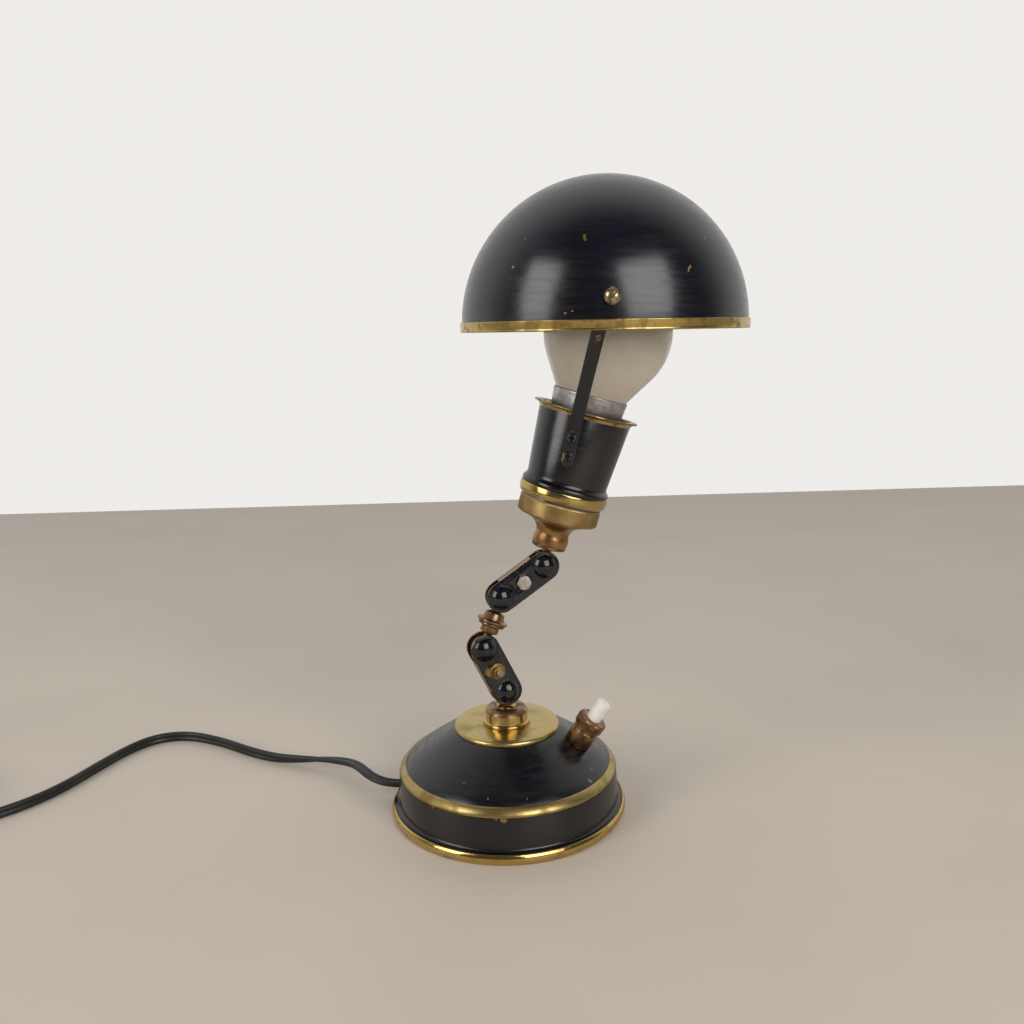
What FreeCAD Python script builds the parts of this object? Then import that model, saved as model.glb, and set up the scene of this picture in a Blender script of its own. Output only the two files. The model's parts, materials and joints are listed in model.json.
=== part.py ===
import FreeCAD, Part

# Dome shade desk lamp with a jointed arm, in millimetres.
# +Z is up, the front of the lamp faces -Y, and the origin is the centre of the foot's underside.
# Every group of pieces is drawn in a frame of its own and then placed along the chain
# foot, lower link, middle stud, upper link, lampholder, shade.

import math
import os

from FreeCAD import Placement, Rotation
from FreeCAD import Vector as V

# ---------------------------------------------------------------- fits
RUN_FIT = 0.05          # radial clearance of a pin that turns or slides in its bore
SEAT_GAP = 0.1          # gap between faces that lie on each other and move
ASSEMBLY_GAP = 0.05     # gap between fixed pieces that slip into each other
BALL_FIT = 0.06         # radial clearance of a ball in its sockets

# ---------------------------------------------------------------- foot
FOOT_RADIUS = 57.5
FOOT_ROLL_HEIGHT = 5.0
FOOT_ROLL_WIDTH = 4.4
FOOT_FLAT_WIDTH = 2.6
FELT_THICKNESS = 1.6
FELT_RADIUS = 51.5
PLATE_THICKNESS = 1.0
WEIGHT_HEIGHT = 11.5
WEIGHT_RADIUS = 46.0
WEIGHT_RECESS_RADIUS = 11.0
WEIGHT_RECESS_DEPTH = 4.8
LEAD_CHANNEL_WIDTH = 8.0
SHEET = 1.0
SKIRT_FLANGE_RADIUS = 55.8
SKIRT_LOW_RADIUS = 53.6
SKIRT_TOP_RADIUS = 53.0
SKIRT_COVE_RADIUS = 1.4
SHOULDER_RADIUS = 52.8
SHOULDER_HEIGHT = 21.2
SHOULDER_LIP = 0.9
CONE_LOW_RADIUS = 49.9
CONE_LOW_HEIGHT = 24.3
CONE_TOP_RADIUS = 25.4
CONE_TOP_HEIGHT = 40.5
CONE_CROWN = 0.5
DISC_HEIGHT = 42.8
DISC_FACE_RADIUS = 24.0
DISC_THICKNESS = 2.3
BOSS_RADIUS = 10.2
BOSS_FLANGE_RADIUS = 11.3
BOSS_FLANGE_THICKNESS = 1.5
BOSS_SPLIT_HEIGHT = 48.6
BOSS_TOP_HEIGHT = 51.0
BOSS_TOP_RADIUS = 8.4
BOSS_THREAD_RADIUS = 8.4
BOSS_THREAD_DEPTH = 1.6
COLLAR_RADIUS = 7.1
COLLAR_THICKNESS = 1.9
TIE_RADIUS = 5.0
TIE_BORE = 3.2
TIE_NUT_FLATS = 14.0
TIE_NUT_HEIGHT = 3.6
TIE_WINDOW_WIDTH = 4.6
TIE_WINDOW_HEIGHT = 6.0

# ---------------------------------------------------------------- switch on the cone
SWITCH_AZIMUTH = -15.0
SWITCH_DOWN_CONE = 0.37     # place along the cone, 0 at its top edge and 1 at its foot
BUSH_RADIUS = 6.3
BUSH_HEIGHT = 10.0
BUSH_NECK_RADIUS = 5.5
BUSH_NECK_HEIGHT = 4.4
BUSH_SHANK_RADIUS = 4.7
BUSH_SHANK_LENGTH = 6.0
RING_RADIUS = 7.1
RING_HEIGHT = 5.0
RING_GROOVES = 3
RING_GROOVE_DEPTH = 0.35
BUTTON_RADIUS = 3.5
BUTTON_OUT = 10.4
BUTTON_TRAVEL = 3.0
BUTTON_EDGE_ROUND = 1.2
BUTTON_CROWN = 0.3
PLUNGER_RADIUS = 2.0
PLUNGER_LENGTH = 4.0
LOCK_NUT_FLATS = 13.0
LOCK_NUT_HEIGHT = 2.4
SWITCH_BODY_RADIUS = 7.5
SWITCH_BODY_LENGTH = 11.0

# ---------------------------------------------------------------- ball studs and links
BALL_RADIUS = 6.0
NECK_RADIUS = 2.1
NECK_LENGTH = 7.3           # thin neck, measured from the ball's centre
FLARE_LENGTH = 0.8
LEAD_BORE = 1.25
LOWER_BALL_HEIGHT = 59.25
LOWER_NECK_RADIUS = 4.9
LINK_LENGTH = 25.1          # between ball centres
LINK_HALF_WIDTH = 7.2
LINK_SHEET = 0.8
LINK_WEB = 3.9              # from the middle plane to the outer face of a plate
LINK_PARTING = 0.3          # from the middle plane to the edge of a flange
LINK_EDGE_ROUND = 0.7
NOTCH_FROM_BALL = 3.4
CLAMP_BOLT_RADIUS = 1.5
UPPER_HEX_FLATS = 6.2
LOWER_HEX_FLATS = 5.5
HEX_HEIGHT = 2.4
WASHER_RADIUS = 3.9
WASHER_THICKNESS = 0.6
BOLT_END = 1.0
STUD_LENGTH = 25.85
STUD_PARTING = 12.65        # height of the plane where the two half studs meet
STUD_WAIST_RADIUS = 4.3
LOW_FLANGE_RADIUS = 6.5
LOW_FLANGE_THICKNESS = 1.2
HIGH_FLANGE_RADIUS = 7.4
HIGH_FLANGE_THICKNESS = 1.7
STUD_CONE_RADIUS = 5.4
STUD_CONE_TOP_RADIUS = 4.6
PIVOT_RADIUS = 2.9
PIVOT_LENGTH = 4.2
LEAD_RADIUS = 1.1
LEAD_BOW = 3.4              # how far the leads pass beside the clamp bolt

# ---------------------------------------------------------------- lampholder, measured from the top ball
TOP_NECK_LENGTH = 7.9
TOP_FLANGE_START = 9.2
TOP_FLANGE_RADIUS = 8.2
TOP_FLANGE_THICKNESS = 1.3
TOP_WAIST_RADIUS = 5.0
TOP_PIVOT_RADIUS = 4.0
TOP_PIVOT_LENGTH = 5.4
TOP_COLLAR_RADIUS = 6.0
TOP_COLLAR_THICKNESS = 1.4
NECK_COLLAR_RADIUS = 8.6
NECK_COLLAR_TOP = 15.9
NECK_WAIST_RADIUS = 8.0
NECK_WAIST_TOP = 16.9
NECK_CONE_RADIUS = 13.6
NECK_CONE_TOP = 22.7
NECK_WALL = 1.2
CAP_FLANGE_RADIUS = 17.4
KNURL_RADIUS = 19.3
KNURL_BOTTOM = 24.4
KNURL_TOP = 32.2
RING_LIP = 1.1
CORE_RADIUS = 18.2
CORE_WALL = 0.7
CORE_TOP = 46.0
CORE_RIDGE_RADIUS = 18.9
BRIGHT_RADIUS = 21.0
BRIGHT_BOTTOM = 33.4
BRIGHT_TOP = 38.4
BRIGHT_EDGE_RADIUS = 20.2
SHELL_BOTTOM = 38.5
SHELL_BEAD_RADIUS = 20.7
SHELL_BEAD_HEIGHT = 2.4
SHELL_LOW_RADIUS = 19.1
SHELL_LOW_HEIGHT = 43.0
SHELL_TOP_RADIUS = 21.6
SHELL_TOP = 73.3
SHELL_WALL = 0.8
LIP_RADIUS = 24.5
LIP_TOP = 76.0
INSULATOR_FLOOR = 27.0
INSULATOR_DECK = 45.0
INSULATOR_TOP = 66.0
INSULATOR_TUBE_RADIUS = 16.4
SLEEVE_RADIUS = 14.1
SLEEVE_WALL = 0.5
CONTACT_WIDTH = 6.0
CONTACT_THICKNESS = 0.5
CONTACT_RISE = 3.2

# ---------------------------------------------------------------- bulb
BULB_COLLAR_TOP = 83.6
BULB_COLLAR_BOTTOM = 70.0
BULB_COLLAR_TOP_RADIUS = 17.5
BULB_COLLAR_LOW_RADIUS = 16.2
BULB_JOINT_STEP = 0.5
GLOBE_RADIUS = 29.3
GLOBE_HEIGHT = 112.4
GLOBE_WALL = 1.0
BULB_CAP_RADIUS = 13.0
BULB_CAP_BOTTOM = 49.0
BULB_TIP_RADIUS = 4.5
BULB_TIP_HEIGHT = 2.4

# ---------------------------------------------------------------- shade and its hanger
SHADE_RADIUS = 64.25
SHADE_WALL = 0.8
SHADE_SKIRT = 2.6           # straight wall below the half sphere
RIM_HEIGHT = 4.3
RIM_THICKNESS = 0.8
PIVOT_ABOVE_CENTRE = 8.4    # pivot line above the centre of the half sphere
HANGER_TURN = -3.8          # pivot line, turned about the holder's axis
HANGER_OFFSET = -5.45       # the strips are bent sideways: at the pivot,
BEND_OFFSET = -6.8          # at the bend below it
FOOT_OFFSET = -3.0          # and at the foot
PIVOT_HEIGHT = 124.1        # pivot line, measured from the top ball
BEND_BELOW_PIVOT = 11.6
STRIP_WIDTH = 5.7
STRIP_THICKNESS = 1.0
STRIP_FOOT_BOTTOM = 50.5
STRIP_FOOT_TOP = 67.0
STRIP_END_LENGTH = 6.0
RIVET_HEIGHTS = (55.3, 63.6)
RIVET_SHANK_RADIUS = 1.2
RIVET_HEAD_RADIUS = 2.2
RIVET_HEAD_HEIGHT = 0.7
SCREW_RADIUS = 1.5
SCREW_HEAD_RADIUS = 3.4
SCREW_HEAD_HEIGHT = 2.2
SCREW_HEAD_EDGE = 0.6
SCREW_SLOT_WIDTH = 0.8
SCREW_SLOT_DEPTH = 0.9
PIVOT_WASHER_RADIUS = 3.0
PIVOT_WASHER_THICKNESS = 0.8
PIVOT_SIDE_PLAY = 0.25      # between a washer and the shade
PIVOT_NUT_FLATS = 5.5
PIVOT_NUT_HEIGHT = 2.2

# ---------------------------------------------------------------- how the joints stand in the photograph, degrees
ARM_TURN = 20.7
LOWER_LINK_LEAN = -25.8
MIDDLE_STUD_LEAN = 48.2
UPPER_LINK_TURN = -12.4
UPPER_LINK_LEAN = 34.9
HOLDER_LEAN = -40.6
HOLDER_ROCK = 7.0
SHADE_LEAN = -15.8
SHADE_ROCK = 1.05

# ---------------------------------------------------------------- cord and plug
CORD_DIAMETER = 5.6
CORD_EXIT_AZIMUTH = 175.0
CORD_EXIT_HEIGHT = 9.3
GROMMET_RADIUS = 4.0
GROMMET_PROUD = 0.8
GROMMET_LENGTH = 5.0
CORD_ROUTE = (              # free stretch after the exit, out to the coil
    (-60.1, 5.3, 9.6),
    (-65.46, 7.52, 10.3),
    (-69.93, 11.21, 10.9),
    (-73.13, 16.05, 11.0),
    (-79.3, 25.8, 10.2),
    (-88.5, 34.5, 8.2),
    (-101.0, 42.5, 5.6),
    (-113.0, 47.2, 3.8),
    (-127.0, 51.4, 2.8),
    (-143.0, 60.0, 2.8),
    (-163.0, 74.5, 2.8),
    (-186.0, 85.5, 2.8),
    (-204.0, 82.0, 2.8),
    (-214.5, 68.0, 2.8),
    (-222.5, 48.5, 2.8),
    (-232.0, 22.5, 2.8),
    (-247.0, 2.5, 2.8),
    (-268.0, -11.5, 2.8),
    (-289.5, -24.0, 2.8),
)
COIL_MIDDLE_DIAMETERS = 5.5     # middle of the turns, in cord diameters from the coil's centre
COIL_TURNS_PER_LAYER = 3.42
COIL_STEP = 0.7                 # added to the cord's diameter between turns and between layers
COIL_TAIL = 28.0                # straight end that reaches the plug
PLUG_LENGTH = 36.0
PLUG_WIDTH = 34.0
PLUG_NOSE = 12.0
PLUG_CORNER = 5.0
PIN_RADIUS = 2.0
PIN_LENGTH = 19.0
PIN_SPACING = 19.0
EXACT = 1e-6


# ---------------------------------------------------------------- drawing helpers
def profile_face(steps):
    """Face in the XZ plane from (radius, height) corners; ("arc", middle, end) draws an arc."""
    start = steps[0]
    here = start
    edges = []
    for step in list(steps[1:]) + [start]:
        if step[0] == "arc":
            middle, end = step[1], step[2]
            edges.append(Part.Arc(xz(here), xz(middle), xz(end)).toShape())
            here = end
        elif math.dist(here, step) > EXACT:
            edges.append(Part.LineSegment(xz(here), xz(step)).toShape())
            here = step
    return Part.Face(Part.Wire(edges))


def xz(point):
    return V(point[0], 0, point[1])


def revolved(*steps):
    return profile_face(steps).revolve(V(), V(0, 0, 1), 360)


def cap(radius, bottom, height):
    """Arc of a round head, from its edge to the axis."""
    ball = (radius ** 2 + height ** 2) / (2 * height)
    half = math.asin(radius / ball) / 2
    centre = bottom + height - ball
    return "arc", (ball * math.sin(half), centre + ball * math.cos(half)), (0, bottom + height)


def cylinder(radius, bottom, top):
    return Part.makeCylinder(radius, top - bottom, V(0, 0, bottom))


def pipe(outer, inner, bottom, top):
    return cylinder(outer, bottom, top).cut(cylinder(inner, bottom - 1, top + 1))


def box(low, high):
    low, high = V(*low), V(*high)
    size = high - low
    return Part.makeBox(size.x, size.y, size.z, low)


def hexagon(flats, bottom, top):
    corner = flats / math.sqrt(3)
    points = [V(corner * math.cos(a), corner * math.sin(a), bottom) for a in (k * math.pi / 3 for k in range(7))]
    return Part.Face(Part.makePolygon(points)).extrude(V(0, 0, top - bottom))


def chamfered_hexagon(flats, bottom, top):
    """Hexagon whose upper corners are turned off, as on a machined nut."""
    corner = flats / math.sqrt(3)
    drop = (corner - flats / 2) * 0.6
    turned = revolved((0, bottom), (corner, bottom), (corner, top - drop), (flats / 2, top), (0, top))
    return hexagon(flats, bottom, top).common(turned)


def along_y(shape):
    """Turns a shape drawn along +Z so that it points along +Y."""
    return moved(shape, Placement(V(), Rotation(V(1, 0, 0), -90)))


def moved(shape, placement):
    copy = shape.copy()
    copy.Placement = placement.multiply(copy.Placement)
    return copy


def turned_about_z(shape, degrees):
    return moved(shape, Placement(V(), Rotation(V(0, 0, 1), degrees)))


def turn_z(degrees):
    return Placement(V(), Rotation(V(0, 0, 1), degrees))


def lean(degrees):
    return Placement(V(), Rotation(V(0, 1, 0), degrees))


def rock(degrees):
    return Placement(V(), Rotation(V(1, 0, 0), degrees))


def shift(x, y, z):
    return Placement(V(x, y, z), Rotation())


def group(solids):
    """Several separate solids in one node."""
    return Part.makeCompound(solids)


def save(name, shape, frame=Placement()):
    placed = moved(shape, frame)
    placed.exportStep(f"parts/{name}.step")
    solids = placed.Solids
    state = "" if placed.isValid() and solids else "   CHECK THIS SHAPE"
    print(f"{name:20s} {len(solids)} solid(s) {placed.Volume / 1000:9.3f} cm3{state}")


# ---------------------------------------------------------------- chain of frames at rest
def rest_frames():
    frames = {}
    frames["foot"] = Placement()
    lower_ball = shift(0, 0, LOWER_BALL_HEIGHT)
    frames["lower_stud"] = lower_ball.multiply(turn_z(ARM_TURN))
    frames["lower_link"] = frames["lower_stud"].multiply(lean(LOWER_LINK_LEAN))
    frames["middle_lower"] = frames["lower_link"].multiply(shift(0, 0, LINK_LENGTH)).multiply(lean(MIDDLE_STUD_LEAN))
    frames["middle_upper"] = frames["middle_lower"].multiply(turn_z(UPPER_LINK_TURN))
    upper_ball = frames["middle_upper"].multiply(shift(0, 0, STUD_LENGTH))
    frames["upper_link"] = upper_ball.multiply(lean(UPPER_LINK_LEAN))
    top_ball = frames["upper_link"].multiply(shift(0, 0, LINK_LENGTH))
    frames["top_stud"] = top_ball.multiply(lean(HOLDER_LEAN)).multiply(rock(HOLDER_ROCK))
    untwist = HANGER_TURN - math.degrees(math.atan2(-frames["top_stud"].Rotation.multVec(V(0, 1, 0)).x,
                                                    frames["top_stud"].Rotation.multVec(V(0, 1, 0)).y))
    frames["holder"] = frames["top_stud"].multiply(turn_z(untwist))
    pivot = frames["holder"].multiply(shift(HANGER_OFFSET, 0, PIVOT_HEIGHT))
    frames["pivot"] = pivot
    frames["shade"] = pivot.multiply(lean(SHADE_LEAN)).multiply(rock(SHADE_ROCK))
    frames["shade"] = frames["shade"].multiply(shift(0, 0, -PIVOT_ABOVE_CENTRE))
    return frames


FRAMES = rest_frames()


# ---------------------------------------------------------------- foot
def cone_arc():
    """Start, middle and end of the cone's crowned outline."""
    top = V(CONE_TOP_RADIUS, 0, CONE_TOP_HEIGHT)
    low = V(CONE_LOW_RADIUS, 0, CONE_LOW_HEIGHT)
    chord = low - top
    outward = V(-chord.z, 0, chord.x).normalize()
    middle = (top + low) * 0.5 + outward * CONE_CROWN
    return top, middle, low


def cone_circle():
    return Part.Arc(*cone_arc()).toShape().Curve


def foot():
    ledge = FOOT_ROLL_HEIGHT - SHEET
    inner = FOOT_RADIUS - FOOT_ROLL_WIDTH
    flat_middle = FOOT_RADIUS - FOOT_ROLL_WIDTH / 2
    flat_in = flat_middle - FOOT_FLAT_WIDTH / 2
    flat_out = flat_middle + FOOT_FLAT_WIDTH / 2
    lip = SKIRT_FLANGE_RADIUS + ASSEMBLY_GAP
    save("foot_ring", revolved(
        (inner, FELT_THICKNESS), (inner + 0.4, 0), (flat_in, 0), (flat_out, 0),
        ("arc", (FOOT_RADIUS, FOOT_ROLL_HEIGHT * 0.45), (lip + 0.5, FOOT_ROLL_HEIGHT)),
        (lip, FOOT_ROLL_HEIGHT), (lip, ledge), (inner, ledge)))

    save("felt_pad", cylinder(FELT_RADIUS, 0, FELT_THICKNESS))
    plate_top = FELT_THICKNESS + PLATE_THICKNESS
    save("bottom_plate", cylinder(inner - ASSEMBLY_GAP, FELT_THICKNESS, plate_top))

    weight_top = plate_top + WEIGHT_HEIGHT
    weight = cylinder(WEIGHT_RADIUS, plate_top, weight_top)
    weight = weight.cut(cylinder(TIE_RADIUS + RUN_FIT, 0, weight_top + 1))
    weight = weight.cut(cylinder(WEIGHT_RECESS_RADIUS, 0, plate_top + WEIGHT_RECESS_DEPTH))
    channel_floor = CORD_EXIT_HEIGHT - CORD_DIAMETER / 2 - ASSEMBLY_GAP * 4
    channel = box((TIE_RADIUS + 9, -LEAD_CHANNEL_WIDTH / 2, channel_floor),
                  (WEIGHT_RADIUS + 1, LEAD_CHANNEL_WIDTH / 2, weight_top + 1))
    save("iron_weight", weight.cut(turned_about_z(channel, CORD_EXIT_AZIMUTH)))

    skirt_top = SHOULDER_HEIGHT - SHOULDER_LIP
    cove_top = FOOT_ROLL_HEIGHT + SKIRT_COVE_RADIUS
    cove_out = SKIRT_LOW_RADIUS + SKIRT_COVE_RADIUS
    bend = SKIRT_COVE_RADIUS * (1 - math.sqrt(0.5))
    skirt = revolved(
        (SKIRT_FLANGE_RADIUS, FOOT_ROLL_HEIGHT), (cove_out, FOOT_ROLL_HEIGHT),
        ("arc", (SKIRT_LOW_RADIUS + bend, FOOT_ROLL_HEIGHT + bend), (SKIRT_LOW_RADIUS, cove_top)),
        (SKIRT_TOP_RADIUS, skirt_top), (SKIRT_TOP_RADIUS - SHEET, skirt_top),
        (SKIRT_LOW_RADIUS - SHEET, ledge + SHEET), (SKIRT_LOW_RADIUS - SHEET, ledge),
        (SKIRT_FLANGE_RADIUS, ledge))
    hole = grommet_frame_shape(cylinder(GROMMET_RADIUS, -GROMMET_LENGTH, GROMMET_LENGTH))
    save("base_skirt", skirt.cut(hole))

    inner_top = CONE_LOW_RADIUS - SHEET
    save("shoulder_ring", revolved(
        (SHOULDER_RADIUS, SHOULDER_HEIGHT), (SHOULDER_RADIUS, skirt_top), (inner_top - 1.5, skirt_top),
        (inner_top - 1.5, skirt_top + SHEET), (inner_top, skirt_top + SHEET),
        (CONE_LOW_RADIUS, CONE_LOW_HEIGHT)))

    circle = cone_circle()
    top, middle, low = cone_arc()
    inward = [(circle.Center - p).normalize() * SHEET for p in (top, middle, low)]
    inner_points = [p + d for p, d in zip((top, middle, low), inward)]
    flat = (xz_pair(p) for p in (top, middle, low))
    top_xz, middle_xz, low_xz = flat
    inner_xz = [xz_pair(p) for p in inner_points]
    cone = revolved(
        (TIE_RADIUS + RUN_FIT, CONE_TOP_HEIGHT), top_xz, ("arc", middle_xz, low_xz), inner_xz[2],
        ("arc", inner_xz[1], inner_xz[0]), (inner_xz[0][0] - 1.0, CONE_TOP_HEIGHT - SHEET),
        (TIE_RADIUS + RUN_FIT, CONE_TOP_HEIGHT - SHEET))
    shank_hole = cylinder(BUSH_SHANK_RADIUS + ASSEMBLY_GAP, -BUSH_SHANK_LENGTH, BUSH_SHANK_LENGTH)
    save("base_cone", cone.cut(moved(shank_hole, switch_frame())))

    save("top_disc", revolved(
        (TIE_RADIUS + RUN_FIT, CONE_TOP_HEIGHT), (CONE_TOP_RADIUS, CONE_TOP_HEIGHT),
        (CONE_TOP_RADIUS, CONE_TOP_HEIGHT + 0.5),
        ("arc", (CONE_TOP_RADIUS - 0.35, DISC_HEIGHT - 0.5), (DISC_FACE_RADIUS, DISC_HEIGHT)),
        (TIE_RADIUS + RUN_FIT, DISC_HEIGHT)))
    boss(plate_top)


def xz_pair(point):
    return point.x, point.z


def boss(plate_top):
    flange_top = DISC_HEIGHT + BOSS_FLANGE_THICKNESS
    thread_bottom = BOSS_SPLIT_HEIGHT - BOSS_THREAD_DEPTH
    chamber_bottom = thread_bottom - COLLAR_THICKNESS - SEAT_GAP
    tie_top = chamber_bottom - 0.5
    body = revolved(
        (0, DISC_HEIGHT), (BOSS_FLANGE_RADIUS, DISC_HEIGHT), (BOSS_FLANGE_RADIUS, flange_top - 0.4),
        (BOSS_FLANGE_RADIUS - 0.4, flange_top), (BOSS_RADIUS, flange_top), (BOSS_RADIUS, BOSS_SPLIT_HEIGHT),
        (0, BOSS_SPLIT_HEIGHT))
    body = body.cut(cylinder(BOSS_THREAD_RADIUS, thread_bottom, BOSS_SPLIT_HEIGHT + 1))
    body = body.cut(cylinder(COLLAR_RADIUS + RUN_FIT, chamber_bottom, BOSS_SPLIT_HEIGHT))
    body = body.cut(cylinder(TIE_RADIUS + RUN_FIT, 0, chamber_bottom + 1))
    save("boss_base", body)

    stud_bore = LOWER_NECK_RADIUS + RUN_FIT
    save("boss_cap", revolved(
        (stud_bore, thread_bottom), (BOSS_THREAD_RADIUS - ASSEMBLY_GAP, thread_bottom),
        (BOSS_THREAD_RADIUS - ASSEMBLY_GAP, BOSS_SPLIT_HEIGHT), (BOSS_RADIUS, BOSS_SPLIT_HEIGHT),
        (BOSS_TOP_RADIUS, BOSS_TOP_HEIGHT), (stud_bore, BOSS_TOP_HEIGHT)))

    nut_bottom = plate_top + 0.3
    weight_seat = plate_top + WEIGHT_RECESS_DEPTH
    tube = pipe(TIE_RADIUS, TIE_BORE, nut_bottom, tie_top)
    window_bottom = plate_top + WEIGHT_HEIGHT + 1.0
    window = box((0, -TIE_WINDOW_WIDTH / 2, window_bottom),
                 (TIE_RADIUS + 1, TIE_WINDOW_WIDTH / 2, window_bottom + TIE_WINDOW_HEIGHT))
    for azimuth in (CORD_EXIT_AZIMUTH, SWITCH_AZIMUTH):
        tube = tube.cut(turned_about_z(window, azimuth))
    save("tie_tube", tube)
    nut = hexagon(TIE_NUT_FLATS, weight_seat - TIE_NUT_HEIGHT, weight_seat)
    save("tie_nut", nut.cut(cylinder(TIE_RADIUS + ASSEMBLY_GAP, 0, weight_seat + 1)))

    collar_bottom = chamber_bottom + SEAT_GAP / 2
    collar_top = collar_bottom + COLLAR_THICKNESS
    flare_bottom = LOWER_BALL_HEIGHT - NECK_LENGTH - FLARE_LENGTH
    stud = revolved(
        (0, collar_bottom), (COLLAR_RADIUS, collar_bottom), (COLLAR_RADIUS, collar_top),
        (LOWER_NECK_RADIUS, collar_top), (LOWER_NECK_RADIUS, flare_bottom),
        (NECK_RADIUS, flare_bottom + FLARE_LENGTH), (NECK_RADIUS, LOWER_BALL_HEIGHT), (0, LOWER_BALL_HEIGHT))
    stud = stud.fuse(Part.makeSphere(BALL_RADIUS, V(0, 0, LOWER_BALL_HEIGHT)))
    stud = stud.cut(cylinder(LEAD_BORE, 0, LOWER_BALL_HEIGHT + BALL_RADIUS + 1))
    save("lower_ball_stud", stud.removeSplitter())


# ---------------------------------------------------------------- switch
def switch_frame():
    """Origin on the cone's surface, +Z straight out of it."""
    top, middle, low = cone_arc()
    circle = cone_circle()
    arc = Part.Arc(top, middle, low).toShape()
    first, last = arc.ParameterRange
    at_top = arc.valueAt(first)
    share = SWITCH_DOWN_CONE if (at_top - top).Length < EXACT else 1 - SWITCH_DOWN_CONE
    spot = arc.valueAt(first + (last - first) * share)
    normal = (spot - circle.Center).normalize()
    tilt = math.degrees(math.atan2(normal.x, normal.z))
    return turn_z(SWITCH_AZIMUTH).multiply(Placement(spot, Rotation(V(0, 1, 0), tilt)))


def switch():
    frame = switch_frame()
    bore = BUTTON_RADIUS + RUN_FIT
    ring_top = BUSH_HEIGHT + RING_HEIGHT
    floor = -BUSH_SHANK_LENGTH
    bush = revolved(
        (bore, floor), (BUSH_SHANK_RADIUS, floor), (BUSH_SHANK_RADIUS, 0),
        (BUSH_RADIUS, 0), (BUSH_RADIUS, BUSH_HEIGHT - 0.6), (BUSH_RADIUS - 0.6, BUSH_HEIGHT),
        (BUSH_NECK_RADIUS, BUSH_HEIGHT), (BUSH_NECK_RADIUS, BUSH_HEIGHT + BUSH_NECK_HEIGHT),
        (bore, BUSH_HEIGHT + BUSH_NECK_HEIGHT))
    save("switch_bush", bush, frame)

    thread = BUSH_NECK_RADIUS + ASSEMBLY_GAP
    shelf = BUSH_HEIGHT + BUSH_NECK_HEIGHT + ASSEMBLY_GAP
    ring = revolved(
        (thread, BUSH_HEIGHT), (RING_RADIUS - 0.4, BUSH_HEIGHT), (RING_RADIUS, BUSH_HEIGHT + 0.4),
        (RING_RADIUS, ring_top - 0.8), (RING_RADIUS - 0.8, ring_top), (bore, ring_top), (bore, shelf), (thread, shelf))
    pitch = (RING_HEIGHT - 1.2) / RING_GROOVES
    for k in range(RING_GROOVES):
        middle = BUSH_HEIGHT + 0.4 + pitch * (k + 0.5)
        ring = ring.cut(revolved(
            (RING_RADIUS + 1, middle - 0.3), (RING_RADIUS, middle - 0.3), (RING_RADIUS - RING_GROOVE_DEPTH, middle),
            (RING_RADIUS, middle + 0.3), (RING_RADIUS + 1, middle + 0.3)))
    save("switch_ring", ring, frame)

    button_top = ring_top + BUTTON_OUT
    plunger_bottom = floor - PLUNGER_LENGTH
    shoulder = floor + BUTTON_TRAVEL + SEAT_GAP
    round_start = button_top - BUTTON_EDGE_ROUND - BUTTON_CROWN
    round_end = BUTTON_RADIUS - BUTTON_EDGE_ROUND
    on_round = BUTTON_EDGE_ROUND * math.sqrt(0.5)
    button = revolved(
        (0, plunger_bottom), (PLUNGER_RADIUS, plunger_bottom), (PLUNGER_RADIUS, shoulder), (BUTTON_RADIUS, shoulder),
        (BUTTON_RADIUS, round_start),
        ("arc", (round_end + on_round, round_start + on_round), (round_end, button_top - BUTTON_CROWN)),
        cap(round_end, button_top - BUTTON_CROWN, BUTTON_CROWN))
    save("switch_button", button, frame)

    body = cylinder(SWITCH_BODY_RADIUS, floor - SWITCH_BODY_LENGTH, floor)
    socket_floor = plunger_bottom - BUTTON_TRAVEL - SEAT_GAP
    save("switch_body", body.cut(cylinder(PLUNGER_RADIUS + RUN_FIT, socket_floor, floor + 1)), frame)
    nut_top = -SHEET - CONE_CROWN
    nut = hexagon(LOCK_NUT_FLATS, nut_top - LOCK_NUT_HEIGHT, nut_top)
    save("switch_lock_nut", nut.cut(cylinder(BUSH_SHANK_RADIUS + ASSEMBLY_GAP, nut_top - 9, nut_top + 9)), frame)


# ---------------------------------------------------------------- links, drawn from the lower ball up +Z
def pill(half_width, y_low, y_high, start=(0, 0), end=(0, LINK_LENGTH)):
    """Flat plate across Y with round ends about two (x, z) points, for a link the centres of its balls."""
    length = math.dist(start, end)
    disc = along_y(cylinder(half_width, y_low, y_high))
    bar = box((-half_width, y_low, 0), (half_width, y_high, length))
    plate = disc.fuse([moved(disc, shift(0, 0, length)), bar]).removeSplitter()
    slant = math.degrees(math.atan2(end[0] - start[0], end[1] - start[1]))
    return moved(plate, shift(start[0], 0, start[1]).multiply(lean(slant)))


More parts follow.
